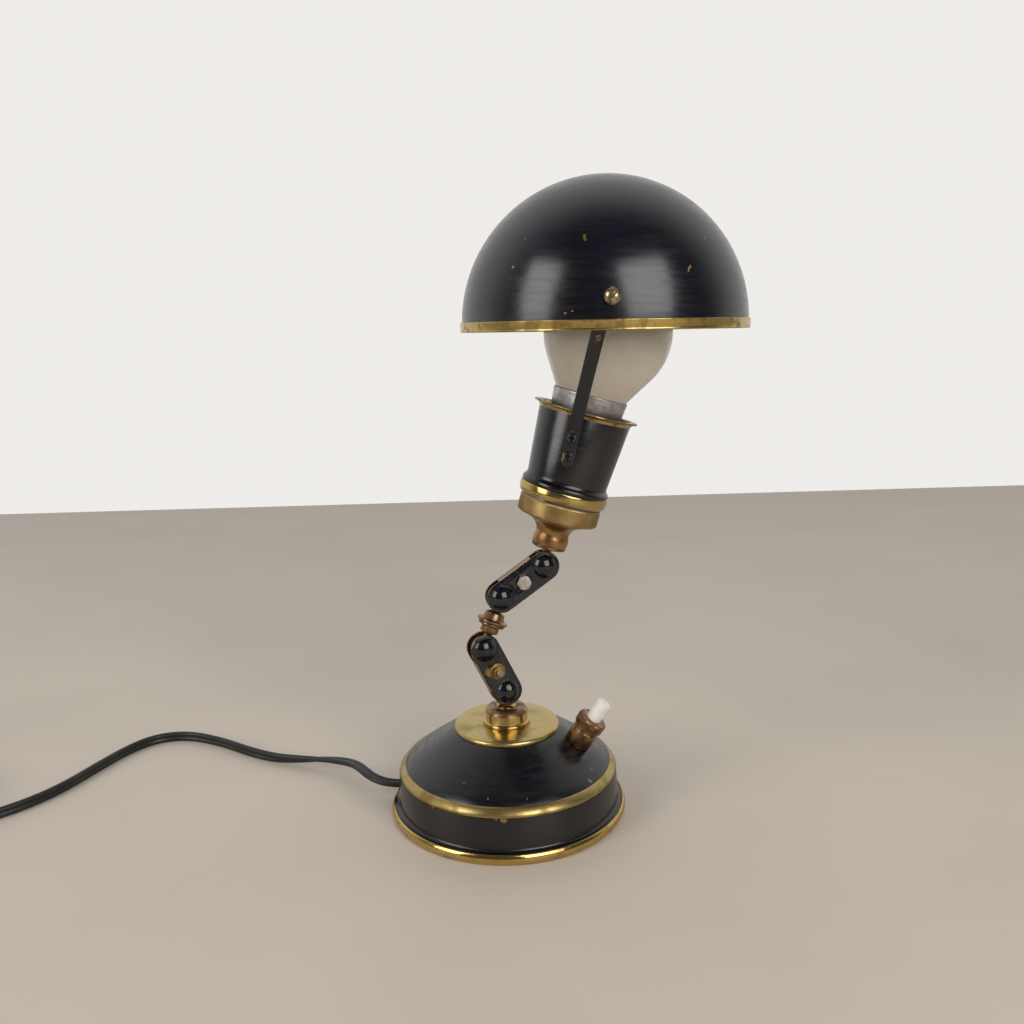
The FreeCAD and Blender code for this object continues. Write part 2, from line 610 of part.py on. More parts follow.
def link_shell():
    """Back half of a link: a pressed pill with a flange along its sides and a dome over each ball."""
    web_inside = LINK_WEB - LINK_SHEET
    body = pill(LINK_HALF_WIDTH, LINK_PARTING, LINK_WEB)
    rim = [e for e in body.Edges if abs(e.BoundBox.YMin - LINK_WEB) < EXACT and abs(e.BoundBox.YMax - LINK_WEB) < EXACT]
    body = body.makeFillet(LINK_EDGE_ROUND, rim)
    body = body.cut(pill(LINK_HALF_WIDTH - LINK_SHEET, LINK_PARTING - 1, web_inside))
    reach = LINK_HALF_WIDTH + 1
    for low, high in ((-reach, NOTCH_FROM_BALL), (LINK_LENGTH - NOTCH_FROM_BALL, LINK_LENGTH + reach)):
        body = body.cut(box((-reach, LINK_PARTING - 1, low), (reach, web_inside, high)))
    outside = box((-reach, web_inside, -reach), (reach, reach * 2, LINK_LENGTH + reach))
    socket = BALL_RADIUS + BALL_FIT
    for z in (0, LINK_LENGTH):
        dome = Part.makeSphere(socket + LINK_SHEET, V(0, 0, z)).common(outside)
        body = body.fuse(dome)
    for z in (0, LINK_LENGTH):
        body = body.cut(Part.makeSphere(socket, V(0, 0, z)))
    hole = along_y(cylinder(CLAMP_BOLT_RADIUS + RUN_FIT, 0, LINK_WEB + 1))
    body = body.cut(moved(hole, shift(0, 0, LINK_LENGTH / 2)))
    return body.removeSplitter()


def link(name, frame, hex_flats, head_in_front, washers):
    shell = link_shell()
    save(f"{name}_back", shell, frame)
    save(f"{name}_front", turned_about_z(shell, 180), frame)

    face = LINK_WEB + (WASHER_THICKNESS if washers else 0)
    head = chamfered_hexagon(hex_flats, face, face + HEX_HEIGHT)
    shank = cylinder(CLAMP_BOLT_RADIUS, -face - HEX_HEIGHT - BOLT_END, face + HEX_HEIGHT / 2)
    bolt = along_y(head.fuse(shank).removeSplitter())
    nut = chamfered_hexagon(hex_flats, face, face + HEX_HEIGHT)
    nut = nut.cut(cylinder(CLAMP_BOLT_RADIUS + ASSEMBLY_GAP, 0, face + HEX_HEIGHT + 1))
    nut = turned_about_z(along_y(nut), 180)
    if head_in_front:
        bolt = turned_about_z(bolt, 180)
        nut = turned_about_z(nut, 180)
    middle = frame.multiply(shift(0, 0, LINK_LENGTH / 2))
    save(f"{name}_bolt", bolt, middle)
    save(f"{name}_nut", nut, middle)
    if washers:
        washer = pipe(WASHER_RADIUS, CLAMP_BOLT_RADIUS + ASSEMBLY_GAP, LINK_WEB, LINK_WEB + WASHER_THICKNESS)
        back = along_y(washer)
        save(f"{name}_washers", group([back, turned_about_z(back, 180)]), middle)
    save(f"{name}_leads", link_leads(), frame)


def link_leads():
    """Twin lead from ball to ball, bowed past the clamp bolt."""
    start = BALL_RADIUS - 1.0
    turn = start + LEAD_BOW
    points = [V(0, 0, start), V(-LEAD_BOW, 0, turn), V(-LEAD_BOW, 0, LINK_LENGTH - turn), V(0, 0, LINK_LENGTH - start)]
    lead = swept_tube(points, LEAD_RADIUS)
    clear = BALL_RADIUS + 3 * SEAT_GAP
    return lead.cut([Part.makeSphere(clear), Part.makeSphere(clear, V(0, 0, LINK_LENGTH))])


# ---------------------------------------------------------------- ball studs, drawn from the ball's centre up +Z
def stud_with_ball(steps, neck=NECK_LENGTH):
    stud = revolved((0, 0), (NECK_RADIUS, 0), (NECK_RADIUS, neck), *steps)
    return stud.fuse(Part.makeSphere(BALL_RADIUS))


def middle_stud():
    top = STUD_PARTING
    pivot_top = top + PIVOT_LENGTH
    lower = stud_with_ball((
        (STUD_WAIST_RADIUS, NECK_LENGTH + FLARE_LENGTH), (STUD_WAIST_RADIUS, top - LOW_FLANGE_THICKNESS - 0.4),
        (LOW_FLANGE_RADIUS - 0.4, top - LOW_FLANGE_THICKNESS), (LOW_FLANGE_RADIUS, top - LOW_FLANGE_THICKNESS + 0.4),
        (LOW_FLANGE_RADIUS, top), (PIVOT_RADIUS, top), (PIVOT_RADIUS, pivot_top), (0, pivot_top)))
    lower = lower.cut(cylinder(LEAD_BORE, -BALL_RADIUS - 1, pivot_top + 1))
    save("middle_stud_lower", lower.removeSplitter(), FRAMES["middle_lower"])

    bottom = STUD_LENGTH - top - SEAT_GAP      # measured down from the upper ball
    socket_end = bottom - PIVOT_LENGTH - SEAT_GAP
    upper = stud_with_ball((
        (STUD_CONE_TOP_RADIUS, NECK_LENGTH + FLARE_LENGTH), (STUD_CONE_RADIUS, bottom - HIGH_FLANGE_THICKNESS - 0.3),
        (HIGH_FLANGE_RADIUS - 0.5, bottom - HIGH_FLANGE_THICKNESS),
        ("arc", (HIGH_FLANGE_RADIUS, bottom - HIGH_FLANGE_THICKNESS / 2), (HIGH_FLANGE_RADIUS - 0.5, bottom)),
        (0, bottom)))
    upper = upper.cut(cylinder(LEAD_BORE, -BALL_RADIUS - 1, bottom + 1))
    upper = upper.cut(cylinder(PIVOT_RADIUS + RUN_FIT, socket_end, bottom + 1))
    upper = moved(upper.removeSplitter(), Placement(V(0, 0, STUD_LENGTH), Rotation(V(1, 0, 0), 180)))
    save("middle_stud_upper", upper, FRAMES["middle_upper"])


def top_stud():
    flange_top = TOP_FLANGE_START + TOP_FLANGE_THICKNESS
    pivot_top = flange_top + TOP_PIVOT_LENGTH
    collar_top = pivot_top + TOP_COLLAR_THICKNESS
    stud = stud_with_ball((
        (TOP_WAIST_RADIUS, TOP_NECK_LENGTH + FLARE_LENGTH), (TOP_WAIST_RADIUS, TOP_FLANGE_START - 0.3),
        (TOP_FLANGE_RADIUS - 0.4, TOP_FLANGE_START), (TOP_FLANGE_RADIUS, TOP_FLANGE_START + 0.4),
        (TOP_FLANGE_RADIUS, flange_top), (TOP_PIVOT_RADIUS, flange_top), (TOP_PIVOT_RADIUS, pivot_top),
        (TOP_COLLAR_RADIUS, pivot_top), (TOP_COLLAR_RADIUS, collar_top), (0, collar_top)), TOP_NECK_LENGTH)
    stud = stud.cut(cylinder(LEAD_BORE, -BALL_RADIUS - 1, collar_top + 1))
    save("top_ball_stud", stud.removeSplitter(), FRAMES["top_stud"])


# ---------------------------------------------------------------- lampholder and bulb, drawn up the holder's axis
def lampholder():
    frame = FRAMES["holder"]
    neck_bottom = TOP_FLANGE_START + TOP_FLANGE_THICKNESS + SEAT_GAP
    pivot_top = TOP_FLANGE_START + TOP_FLANGE_THICKNESS + TOP_PIVOT_LENGTH
    bore = TOP_PIVOT_RADIUS + RUN_FIT
    flange_bottom = KNURL_BOTTOM - 1.2
    flange_top = KNURL_BOTTOM + 0.6
    neck = revolved(
        (bore, neck_bottom), (NECK_COLLAR_RADIUS - 0.4, neck_bottom),
        ("arc", (NECK_COLLAR_RADIUS, (neck_bottom + NECK_COLLAR_TOP) / 2), (NECK_WAIST_RADIUS, NECK_COLLAR_TOP)),
        (NECK_WAIST_RADIUS, NECK_WAIST_TOP), (NECK_CONE_RADIUS - 0.4, NECK_CONE_TOP - 0.4),
        (NECK_CONE_RADIUS, flange_bottom + RING_LIP), (CAP_FLANGE_RADIUS, flange_bottom + RING_LIP + 0.3),
        (CAP_FLANGE_RADIUS, flange_top), (NECK_CONE_RADIUS - NECK_WALL * 1.5, flange_top),
        (TOP_COLLAR_RADIUS + SEAT_GAP * 2, NECK_WAIST_TOP + NECK_WALL), (TOP_COLLAR_RADIUS + SEAT_GAP * 2, pivot_top - SEAT_GAP),
        (bore, pivot_top - SEAT_GAP))
    save("holder_neck", neck, frame)

    lip_inner = NECK_CONE_RADIUS + ASSEMBLY_GAP * 2
    thread = CORE_RADIUS + ASSEMBLY_GAP
    save("knurled_ring", revolved(
        (lip_inner, flange_bottom - 0.3), (KNURL_RADIUS - 0.7, KNURL_BOTTOM - 0.3), (KNURL_RADIUS, KNURL_BOTTOM + 0.5),
        (KNURL_RADIUS, KNURL_TOP - 0.4), (KNURL_RADIUS - 0.4, KNURL_TOP), (thread, KNURL_TOP),
        (thread, KNURL_BOTTOM + 0.2), (CAP_FLANGE_RADIUS + ASSEMBLY_GAP * 2, flange_bottom + RING_LIP),
        (lip_inner, flange_bottom + RING_LIP - ASSEMBLY_GAP * 2)), frame)

    ridge_low = KNURL_TOP + ASSEMBLY_GAP
    ridge_high = BRIGHT_BOTTOM - ASSEMBLY_GAP
    core_inner = CORE_RADIUS - CORE_WALL
    save("holder_core", revolved(
        (core_inner, flange_top), (CORE_RADIUS, flange_top), (CORE_RADIUS, ridge_low), (CORE_RIDGE_RADIUS, ridge_low),
        (CORE_RIDGE_RADIUS, ridge_high), (CORE_RADIUS, ridge_high), (CORE_RADIUS, CORE_TOP), (core_inner, CORE_TOP)), frame)

    bright_middle = (BRIGHT_BOTTOM + BRIGHT_TOP) / 2
    save("bright_ring", revolved(
        (thread, BRIGHT_BOTTOM), (BRIGHT_EDGE_RADIUS, BRIGHT_BOTTOM),
        ("arc", (BRIGHT_RADIUS, bright_middle), (BRIGHT_RADIUS - 0.2, BRIGHT_TOP)), (thread, BRIGHT_TOP)), frame)

    save("holder_shell", holder_shell(), frame)
    top_inner = SHELL_TOP_RADIUS - SHELL_WALL
    save("holder_lip", revolved(
        (top_inner, SHELL_TOP), (SHELL_TOP_RADIUS, SHELL_TOP),
        ("arc", (SHELL_TOP_RADIUS + 0.9, LIP_TOP - 1.2), (LIP_RADIUS - 0.4, LIP_TOP - 0.8)),
        ("arc", (LIP_RADIUS, LIP_TOP - 0.4), (LIP_RADIUS - 0.4, LIP_TOP)),
        ("arc", (top_inner + 0.9, LIP_TOP - 0.5), (top_inner, SHELL_TOP))), frame)

    inner = core_inner - ASSEMBLY_GAP
    tube_inner = SLEEVE_RADIUS + ASSEMBLY_GAP
    save("socket_insulator", revolved(
        (3.0, INSULATOR_FLOOR), (inner, INSULATOR_FLOOR), (inner, INSULATOR_DECK), (INSULATOR_TUBE_RADIUS, INSULATOR_DECK),
        (INSULATOR_TUBE_RADIUS, INSULATOR_TOP), (tube_inner, INSULATOR_TOP), (tube_inner, INSULATOR_DECK - 3),
        (3.0, INSULATOR_DECK - 3)), frame)
    save("socket_sleeve", pipe(SLEEVE_RADIUS, SLEEVE_RADIUS - SLEEVE_WALL, INSULATOR_DECK - 2.5, INSULATOR_TOP - 0.5), frame)
    save("centre_contact", centre_contact(), frame)


def holder_shell():
    bead_top = SHELL_BOTTOM + SHELL_BEAD_HEIGHT
    inner = CORE_RADIUS + ASSEMBLY_GAP
    shell = revolved(
        (inner, SHELL_BOTTOM), (SHELL_BEAD_RADIUS - 0.3, SHELL_BOTTOM),
        ("arc", (SHELL_BEAD_RADIUS, SHELL_BOTTOM + SHELL_BEAD_HEIGHT * 0.4), (SHELL_BEAD_RADIUS - 0.6, bead_top)),
        (SHELL_LOW_RADIUS, SHELL_LOW_HEIGHT), (SHELL_TOP_RADIUS, SHELL_TOP), (SHELL_TOP_RADIUS - SHELL_WALL, SHELL_TOP),
        (shell_radius_at(CORE_TOP + 0.5) - SHELL_WALL, CORE_TOP + 0.5), (inner, CORE_TOP))
    return shell.cut(rivet_holes())


def centre_contact():
    """Springy tongue under the bulb's tip."""
    low = INSULATOR_DECK - 3
    half = CONTACT_WIDTH / 2
    points = [(-8.0, low), (-2.0, low), (3.0, low + CONTACT_RISE), (6.0, low + CONTACT_RISE), (6.0, low + CONTACT_RISE + CONTACT_THICKNESS),
              (2.8, low + CONTACT_RISE + CONTACT_THICKNESS), (-2.2, low + CONTACT_THICKNESS), (-8.0, low + CONTACT_THICKNESS)]
    outline = Part.makePolygon([V(x, -half, z) for x, z in points + points[:1]])
    return Part.Face(outline).extrude(V(0, CONTACT_WIDTH, 0))


def globe_outline(radius, mouth, bottom):
    """Where the cone from the bulb's mouth touches the round, a point on its side, and its top."""
    drop = GLOBE_HEIGHT - bottom
    away = math.atan2(drop, mouth)
    touch = away - math.acos(radius / math.hypot(mouth, drop))
    side = (math.pi / 2 - touch) / 2
    return ((radius * math.cos(touch), GLOBE_HEIGHT - radius * math.sin(touch)),
            (radius * math.cos(side), GLOBE_HEIGHT + radius * math.sin(side)),
            (0, GLOBE_HEIGHT + radius))


def bulb():
    frame = FRAMES["holder"]
    joint = BULB_COLLAR_TOP + SEAT_GAP
    mouth = BULB_COLLAR_TOP_RADIUS - BULB_JOINT_STEP
    lip = 0.5
    outer, inner = (globe_outline(radius, mouth + radius - GLOBE_RADIUS, joint + lip) for radius in
                    (GLOBE_RADIUS, GLOBE_RADIUS - GLOBE_WALL))
    globe = revolved(
        (mouth - GLOBE_WALL, joint), (mouth, joint), (mouth, joint + lip), outer[0], ("arc", outer[1], outer[2]),
        inner[2], ("arc", inner[1], inner[0]), (mouth - GLOBE_WALL, joint + lip))
    save("bulb_globe", globe, frame)

    save("bulb_collar", revolved(
        (10.0, BULB_COLLAR_BOTTOM), (BULB_COLLAR_LOW_RADIUS, BULB_COLLAR_BOTTOM),
        (BULB_COLLAR_TOP_RADIUS, BULB_COLLAR_TOP - 0.6), (BULB_COLLAR_TOP_RADIUS, BULB_COLLAR_TOP),
        (10.0, BULB_COLLAR_TOP)), frame)
    tip_top = BULB_CAP_BOTTOM + 2.0
    cap = revolved(
        (0, BULB_CAP_BOTTOM), (BULB_TIP_RADIUS, BULB_CAP_BOTTOM), (BULB_CAP_RADIUS - 0.8, tip_top + 1.5),
        (BULB_CAP_RADIUS, tip_top + 3.0), (BULB_CAP_RADIUS, BULB_COLLAR_BOTTOM), (0, BULB_COLLAR_BOTTOM))
    save("bulb_cap", cap, frame)
    save("bulb_contact", revolved(
        (0, BULB_CAP_BOTTOM - BULB_TIP_HEIGHT), (BULB_TIP_RADIUS * 0.7, BULB_CAP_BOTTOM - BULB_TIP_HEIGHT * 0.6),
        (BULB_TIP_RADIUS * 0.8, BULB_CAP_BOTTOM), (0, BULB_CAP_BOTTOM)), frame)


# ---------------------------------------------------------------- hanger strips, drawn up the holder's axis
def shell_radius_at(height):
    share = (height - SHELL_LOW_HEIGHT) / (SHELL_TOP - SHELL_LOW_HEIGHT)
    return SHELL_LOW_RADIUS + (SHELL_TOP_RADIUS - SHELL_LOW_RADIUS) * share


def strip_wall_y():
    """Distance of a strip's outer face from the middle, where it carries the shade."""
    inner = SHADE_RADIUS - SHADE_WALL
    highest = PIVOT_ABOVE_CENTRE + PIVOT_WASHER_RADIUS
    wall = math.sqrt(inner ** 2 - highest ** 2)
    return wall - PIVOT_SIDE_PLAY - PIVOT_WASHER_THICKNESS


def strip_x(height):
    """Middle of a strip between its foot and its bend."""
    bend = PIVOT_HEIGHT - BEND_BELOW_PIVOT
    share = (height - STRIP_FOOT_BOTTOM) / (bend - STRIP_FOOT_BOTTOM)
    return FOOT_OFFSET + (BEND_OFFSET - FOOT_OFFSET) * share


def rivet_frame(height):
    """Rivet's axis, square to the shell, with +Y pointing out through the back strip."""
    turn = math.degrees(math.asin(-strip_x(height) / shell_radius_at(height)))
    return shift(0, 0, height).multiply(turn_z(turn))


def rivet_holes():
    """Holes for the back strip's rivets, and their mirror images for the front strip's."""
    hole = along_y(cylinder(RIVET_SHANK_RADIUS + ASSEMBLY_GAP, 0, SHELL_TOP_RADIUS + 2 * STRIP_THICKNESS))
    back = [moved(hole, rivet_frame(height)) for height in RIVET_HEIGHTS]
    return back + [mirrored_in_hanger(hole) for hole in back]


def front_strip():
    half = STRIP_WIDTH / 2
    wall = -strip_wall_y()
    inside = wall + STRIP_THICKNESS
    foot_centre = (strip_x(STRIP_FOOT_BOTTOM + half), STRIP_FOOT_BOTTOM + half)
    bend = (BEND_OFFSET, PIVOT_HEIGHT - BEND_BELOW_PIVOT)
    eye = (HANGER_OFFSET, PIVOT_HEIGHT)
    front_view = pill(half, wall - 1, 0, foot_centre, bend).fuse(pill(half, wall - 1, 0, bend, eye))

    low_r, high_r = shell_radius_at(STRIP_FOOT_BOTTOM - 1), shell_radius_at(STRIP_FOOT_TOP)
    jacket = revolved(
        (low_r, STRIP_FOOT_BOTTOM - 1), (low_r + STRIP_THICKNESS, STRIP_FOOT_BOTTOM - 1),
        (high_r + STRIP_THICKNESS, STRIP_FOOT_TOP), (high_r, STRIP_FOOT_TOP))
    end_low = PIVOT_HEIGHT - STRIP_END_LENGTH
    lap = 0.8
    low_y = -math.sqrt(high_r ** 2 - strip_x(STRIP_FOOT_TOP) ** 2)
    slope = math.atan2(end_low - STRIP_FOOT_TOP, low_y - inside)
    side_view = [
        (low_y + 0.4, STRIP_FOOT_TOP - lap), (inside, end_low), (inside, PIVOT_HEIGHT + half), (wall, PIVOT_HEIGHT + half),
        (wall, end_low - STRIP_THICKNESS * math.tan(math.pi / 4 - slope / 2)),
        (low_y + 0.4 - STRIP_THICKNESS / math.sin(slope), STRIP_FOOT_TOP - lap)]
    edge = Part.makePolygon([V(-20, y, z) for y, z in side_view + side_view[:1]])
    bar = Part.Face(edge).extrude(V(40, 0, 0))
    strip = jacket.fuse(bar).common(front_view)
    strip = strip.cut(revolved((0, 0), (shell_radius_at(0), 0), (shell_radius_at(80), 80), (0, 80)))
    hole = along_y(cylinder(SCREW_RADIUS + ASSEMBLY_GAP, wall - 1, inside + 1))
    strip = strip.cut([moved(hole, shift(HANGER_OFFSET, 0, PIVOT_HEIGHT))] + rivet_holes())
    return strip.removeSplitter()


def mirrored_in_hanger(shape):
    """The back strip mirrors the front one in the plane through the holder's axis."""
    return shape.mirror(V(), V(0, 1, 0))


def hanger():
    frame = FRAMES["holder"]
    strip = front_strip()
    save("front_strip", strip, frame)
    save("back_strip", mirrored_in_hanger(strip), frame)

    rivets = []
    for height in RIVET_HEIGHTS:
        face = shell_radius_at(height + RIVET_HEAD_RADIUS) + STRIP_THICKNESS + SEAT_GAP / 2
        inside = shell_radius_at(height - RIVET_HEAD_RADIUS) - SHELL_WALL - SEAT_GAP
        rivet = revolved(
            (0, inside - RIVET_HEAD_HEIGHT), (RIVET_HEAD_RADIUS * 0.8, inside - RIVET_HEAD_HEIGHT),
            (RIVET_HEAD_RADIUS * 0.8, inside), (RIVET_SHANK_RADIUS, inside), (RIVET_SHANK_RADIUS, face),
            (RIVET_HEAD_RADIUS, face), cap(RIVET_HEAD_RADIUS, face, RIVET_HEAD_HEIGHT))
        back = moved(along_y(rivet), rivet_frame(height))
        rivets += [back, mirrored_in_hanger(back)]
    save("strip_rivets", group(rivets), frame)

    wall = strip_wall_y()
    head_seat = SHADE_RADIUS + SEAT_GAP
    nut_face = wall - STRIP_THICKNESS
    screw = revolved(
        (0, nut_face - PIVOT_NUT_HEIGHT - 0.6), (SCREW_RADIUS, nut_face - PIVOT_NUT_HEIGHT - 0.6), (SCREW_RADIUS, head_seat),
        (SCREW_HEAD_RADIUS, head_seat), (SCREW_HEAD_RADIUS, head_seat + SCREW_HEAD_EDGE),
        cap(SCREW_HEAD_RADIUS, head_seat + SCREW_HEAD_EDGE, SCREW_HEAD_HEIGHT - SCREW_HEAD_EDGE))
    slot_low = head_seat + SCREW_HEAD_HEIGHT - SCREW_SLOT_DEPTH
    slot = box((-SCREW_HEAD_RADIUS - 1, -SCREW_SLOT_WIDTH / 2, slot_low), (SCREW_HEAD_RADIUS + 1, SCREW_SLOT_WIDTH / 2, slot_low + 5))
    screw = screw.cut(turned_about_z(slot, 60))
    washer = pipe(PIVOT_WASHER_RADIUS, SCREW_RADIUS + ASSEMBLY_GAP, wall, wall + PIVOT_WASHER_THICKNESS)
    nut = hexagon(PIVOT_NUT_FLATS, nut_face - PIVOT_NUT_HEIGHT, nut_face)
    nut = nut.cut(cylinder(SCREW_RADIUS + ASSEMBLY_GAP, 0, nut_face + 1))
    pivot = FRAMES["pivot"]
    for name, shape in (("pivot_screws", screw), ("pivot_washers", washer), ("pivot_nuts", nut)):
        back = along_y(shape)
        save(name, group([back, turned_about_z(back, 180)]), pivot)


# ---------------------------------------------------------------- shade, drawn about the centre of its half sphere
def shade():
    frame = FRAMES["shade"]
    inner = SHADE_RADIUS - SHADE_WALL
    eighth = math.sqrt(0.5)
    dome = revolved(
        (inner, -SHADE_SKIRT), (SHADE_RADIUS, -SHADE_SKIRT), (SHADE_RADIUS, 0),
        ("arc", (SHADE_RADIUS * eighth, SHADE_RADIUS * eighth), (0, SHADE_RADIUS)), (0, inner),
        ("arc", (inner * eighth, inner * eighth), (inner, 0)))
    hole = along_y(cylinder(SCREW_RADIUS + RUN_FIT, -SHADE_RADIUS - 1, SHADE_RADIUS + 1))
    pivot_line = shift(0, 0, PIVOT_ABOVE_CENTRE).multiply(rock(-SHADE_ROCK))
    save("shade_dome", dome.cut(moved(hole, pivot_line)), frame)

    bottom = -SHADE_SKIRT - ASSEMBLY_GAP - 0.5
    seat = SHADE_RADIUS + ASSEMBLY_GAP
    outer = SHADE_RADIUS + RIM_THICKNESS
    save("shade_rim", revolved(
        (inner, bottom), (outer - 0.3, bottom), ("arc", (outer - 0.08, bottom + 0.1), (outer, bottom + 0.4)),
        (outer, bottom + RIM_HEIGHT - 0.3), (outer - 0.3, bottom + RIM_HEIGHT), (seat, bottom + RIM_HEIGHT),
        (seat, -SHADE_SKIRT - ASSEMBLY_GAP), (inner, -SHADE_SKIRT - ASSEMBLY_GAP)), frame)


# ---------------------------------------------------------------- cord, grommet, coil and plug
def swept_tube(points, radius, report=None):
    """Round tube along straight runs joined by tangent arcs."""
    edges = []
    here = points[0]
    for before, corner, after in zip(points, points[1:], points[2:]):
        into = (corner - before)
        out = (after - corner)
        half_turn = into.getAngle(out) / 2
        shorter = min(into.Length, out.Length)
        bend = 0.45 * shorter / math.tan(half_turn)
        step = 0.45 * shorter
        first = corner - into.normalize() * step
        last = corner + out.normalize() * step
        towards = (out - into).normalize()
        middle = corner + towards * (bend / math.cos(half_turn) - bend)
        edges.append(Part.LineSegment(here, first).toShape())
        edges.append(Part.Arc(first, middle, last).toShape())
        here = last
        if report:
            print(f"{report}: bend radius {bend:6.1f} at ({corner.x:.0f}, {corner.y:.0f}, {corner.z:.0f})")
    edges.append(Part.LineSegment(here, points[-1]).toShape())
    path = Part.Wire(edges)
    return pipe_along(path, points[0], points[1] - points[0], radius)


def pipe_along(path, start, heading, radius):
    ring = Part.Wire([Part.makeCircle(radius, start, heading)])
    tube = path.makePipeShell([ring], True, False)
    if path.Length * math.pi * radius ** 2 * 0.98 > tube.Volume:
        print("   a tube's volume is short of its section times its length")
    return tube


def grommet_frame():
    outward = turn_z(CORD_EXIT_AZIMUTH)
    share = (CORD_EXIT_HEIGHT - FOOT_ROLL_HEIGHT) / (SHOULDER_HEIGHT - FOOT_ROLL_HEIGHT)
    radius = SKIRT_LOW_RADIUS + (SKIRT_TOP_RADIUS - SKIRT_LOW_RADIUS) * share
    return outward.multiply(Placement(V(radius, 0, CORD_EXIT_HEIGHT), Rotation(V(0, 1, 0), 90)))


def grommet_frame_shape(shape):
    return moved(shape, grommet_frame())


def cord():
    frame = grommet_frame()
    radius = CORD_DIAMETER / 2
    sleeve = GROMMET_RADIUS - ASSEMBLY_GAP
    save("cord_grommet", revolved(
        (radius, -GROMMET_LENGTH + GROMMET_PROUD), (sleeve, -GROMMET_LENGTH + GROMMET_PROUD), (sleeve, GROMMET_PROUD - 0.4),
        (sleeve - 0.4, GROMMET_PROUD), (radius, GROMMET_PROUD)).cut(cylinder(radius, -9, 9)), frame)

    start = frame.multVec(V(0, 0, GROMMET_PROUD))
    route = [start] + [V(*p) for p in CORD_ROUTE]
    save("mains_cord", swept_tube(route, radius, "mains_cord"))
    length = sum((b - a).Length for a, b in zip(route, route[1:]))
    coil = Coil(route[-1], route[-1] - route[-2])
    save("mains_cord_coil", pipe_along(coil.path(), coil.joint, coil.heading, radius))
    print(f"free stretch about {length:.0f} mm, coil {coil.path().Length:.0f} mm")
    plug(*coil.tail())
    base_leads(frame)


class Coil:
    """Clockwise coil in two layers: in on the table, up a layer in the half turn that reverses it, and out on top."""

    def __init__(self, joint, way):
        self.joint = joint
        self.heading = way.normalize()
        self.pitch = CORD_DIAMETER + COIL_STEP
        self.inward = self.pitch / (2 * math.pi)
        self.sweep = 2 * math.pi * COIL_TURNS_PER_LAYER
        self.total = 2 * self.sweep + math.pi
        self.outer = (COIL_MIDDLE_DIAMETERS * CORD_DIAMETER) + self.pitch * COIL_TURNS_PER_LAYER / 2
        self.first_angle = math.atan2(self.heading.y, self.heading.x) + math.pi / 2
        self.start = joint + self.heading * CORD_DIAMETER
        self.centre = self.start - V(math.cos(self.first_angle), math.sin(self.first_angle), 0) * self.outer

    def radius_and_rise(self, angle):
        innermost = self.outer - self.inward * self.sweep
        past = angle - self.sweep
        if past <= 0:
            return self.outer - self.inward * angle, 0.0
        if past >= math.pi:
            return innermost + self.inward * (past - math.pi), self.pitch
        share = past / math.pi
        return innermost - self.inward * math.sin(past), self.pitch * share * share * (3 - 2 * share)

    def point(self, angle):
        radius, rise = self.radius_and_rise(angle)
        turned = self.first_angle - angle
        return self.centre + V(radius * math.cos(turned), radius * math.sin(turned), rise)

    def way(self, angle):
        if angle == 0:
            return self.heading
        step = 1e-4
        return (self.point(angle) - self.point(angle - step)).normalize()

    def tail(self):
        """End of the cord and its direction there."""
        way = self.way(self.total)
        return self.point(self.total) + way * COIL_TAIL, way

    def path(self):
        count = round(self.total / (math.pi / 2))
        angles = [self.total * k / count for k in range(count + 1)]
        edges = [Part.LineSegment(self.joint, self.start).toShape()]
        for a, b in zip(angles, angles[1:]):
            edges += biarc(self.point(a), self.way(a), self.point(b), self.way(b))
        edges.append(Part.LineSegment(self.point(self.total), self.tail()[0]).toShape())
        wire = Part.Wire(edges)
        samples = wire.discretize(Number=1600)
        skip = int(3 * CORD_DIAMETER * len(samples) / wire.Length)
        nearest = min(samples[i].distanceToPoint(other) for i in range(0, len(samples), 3)
                      for other in samples[i + skip::2])
        print(f"coil: least gap to itself {nearest - CORD_DIAMETER:.2f} mm")
        return wire


def biarc(start, start_way, end, end_way):
    """Two arcs that meet smoothly and keep the directions at both ends."""
    between = end - start
    ways = start_way + end_way
    a = 2 * (1 - start_way.dot(end_way))
    b = between.dot(ways)
    c = between.dot(between)
    reach = (-b + math.sqrt(b * b + a * c)) / a
    joint = (start + end + (start_way - end_way) * reach) * 0.5
    arcs = []
    for near, way, far in ((start, start_way, joint), (end, end_way * -1, joint)):
        chord = far - near
        across = way.cross(chord).cross(way).normalize()
        radius = chord.dot(chord) / (2 * chord.dot(across))
        centre = near + across * radius
        middle = centre + ((near + far) * 0.5 - centre).normalize() * radius
        arcs.append(Part.Arc(near, middle, far) if near is start else Part.Arc(far, middle, near))
    return [arc.toShape() for arc in arcs]


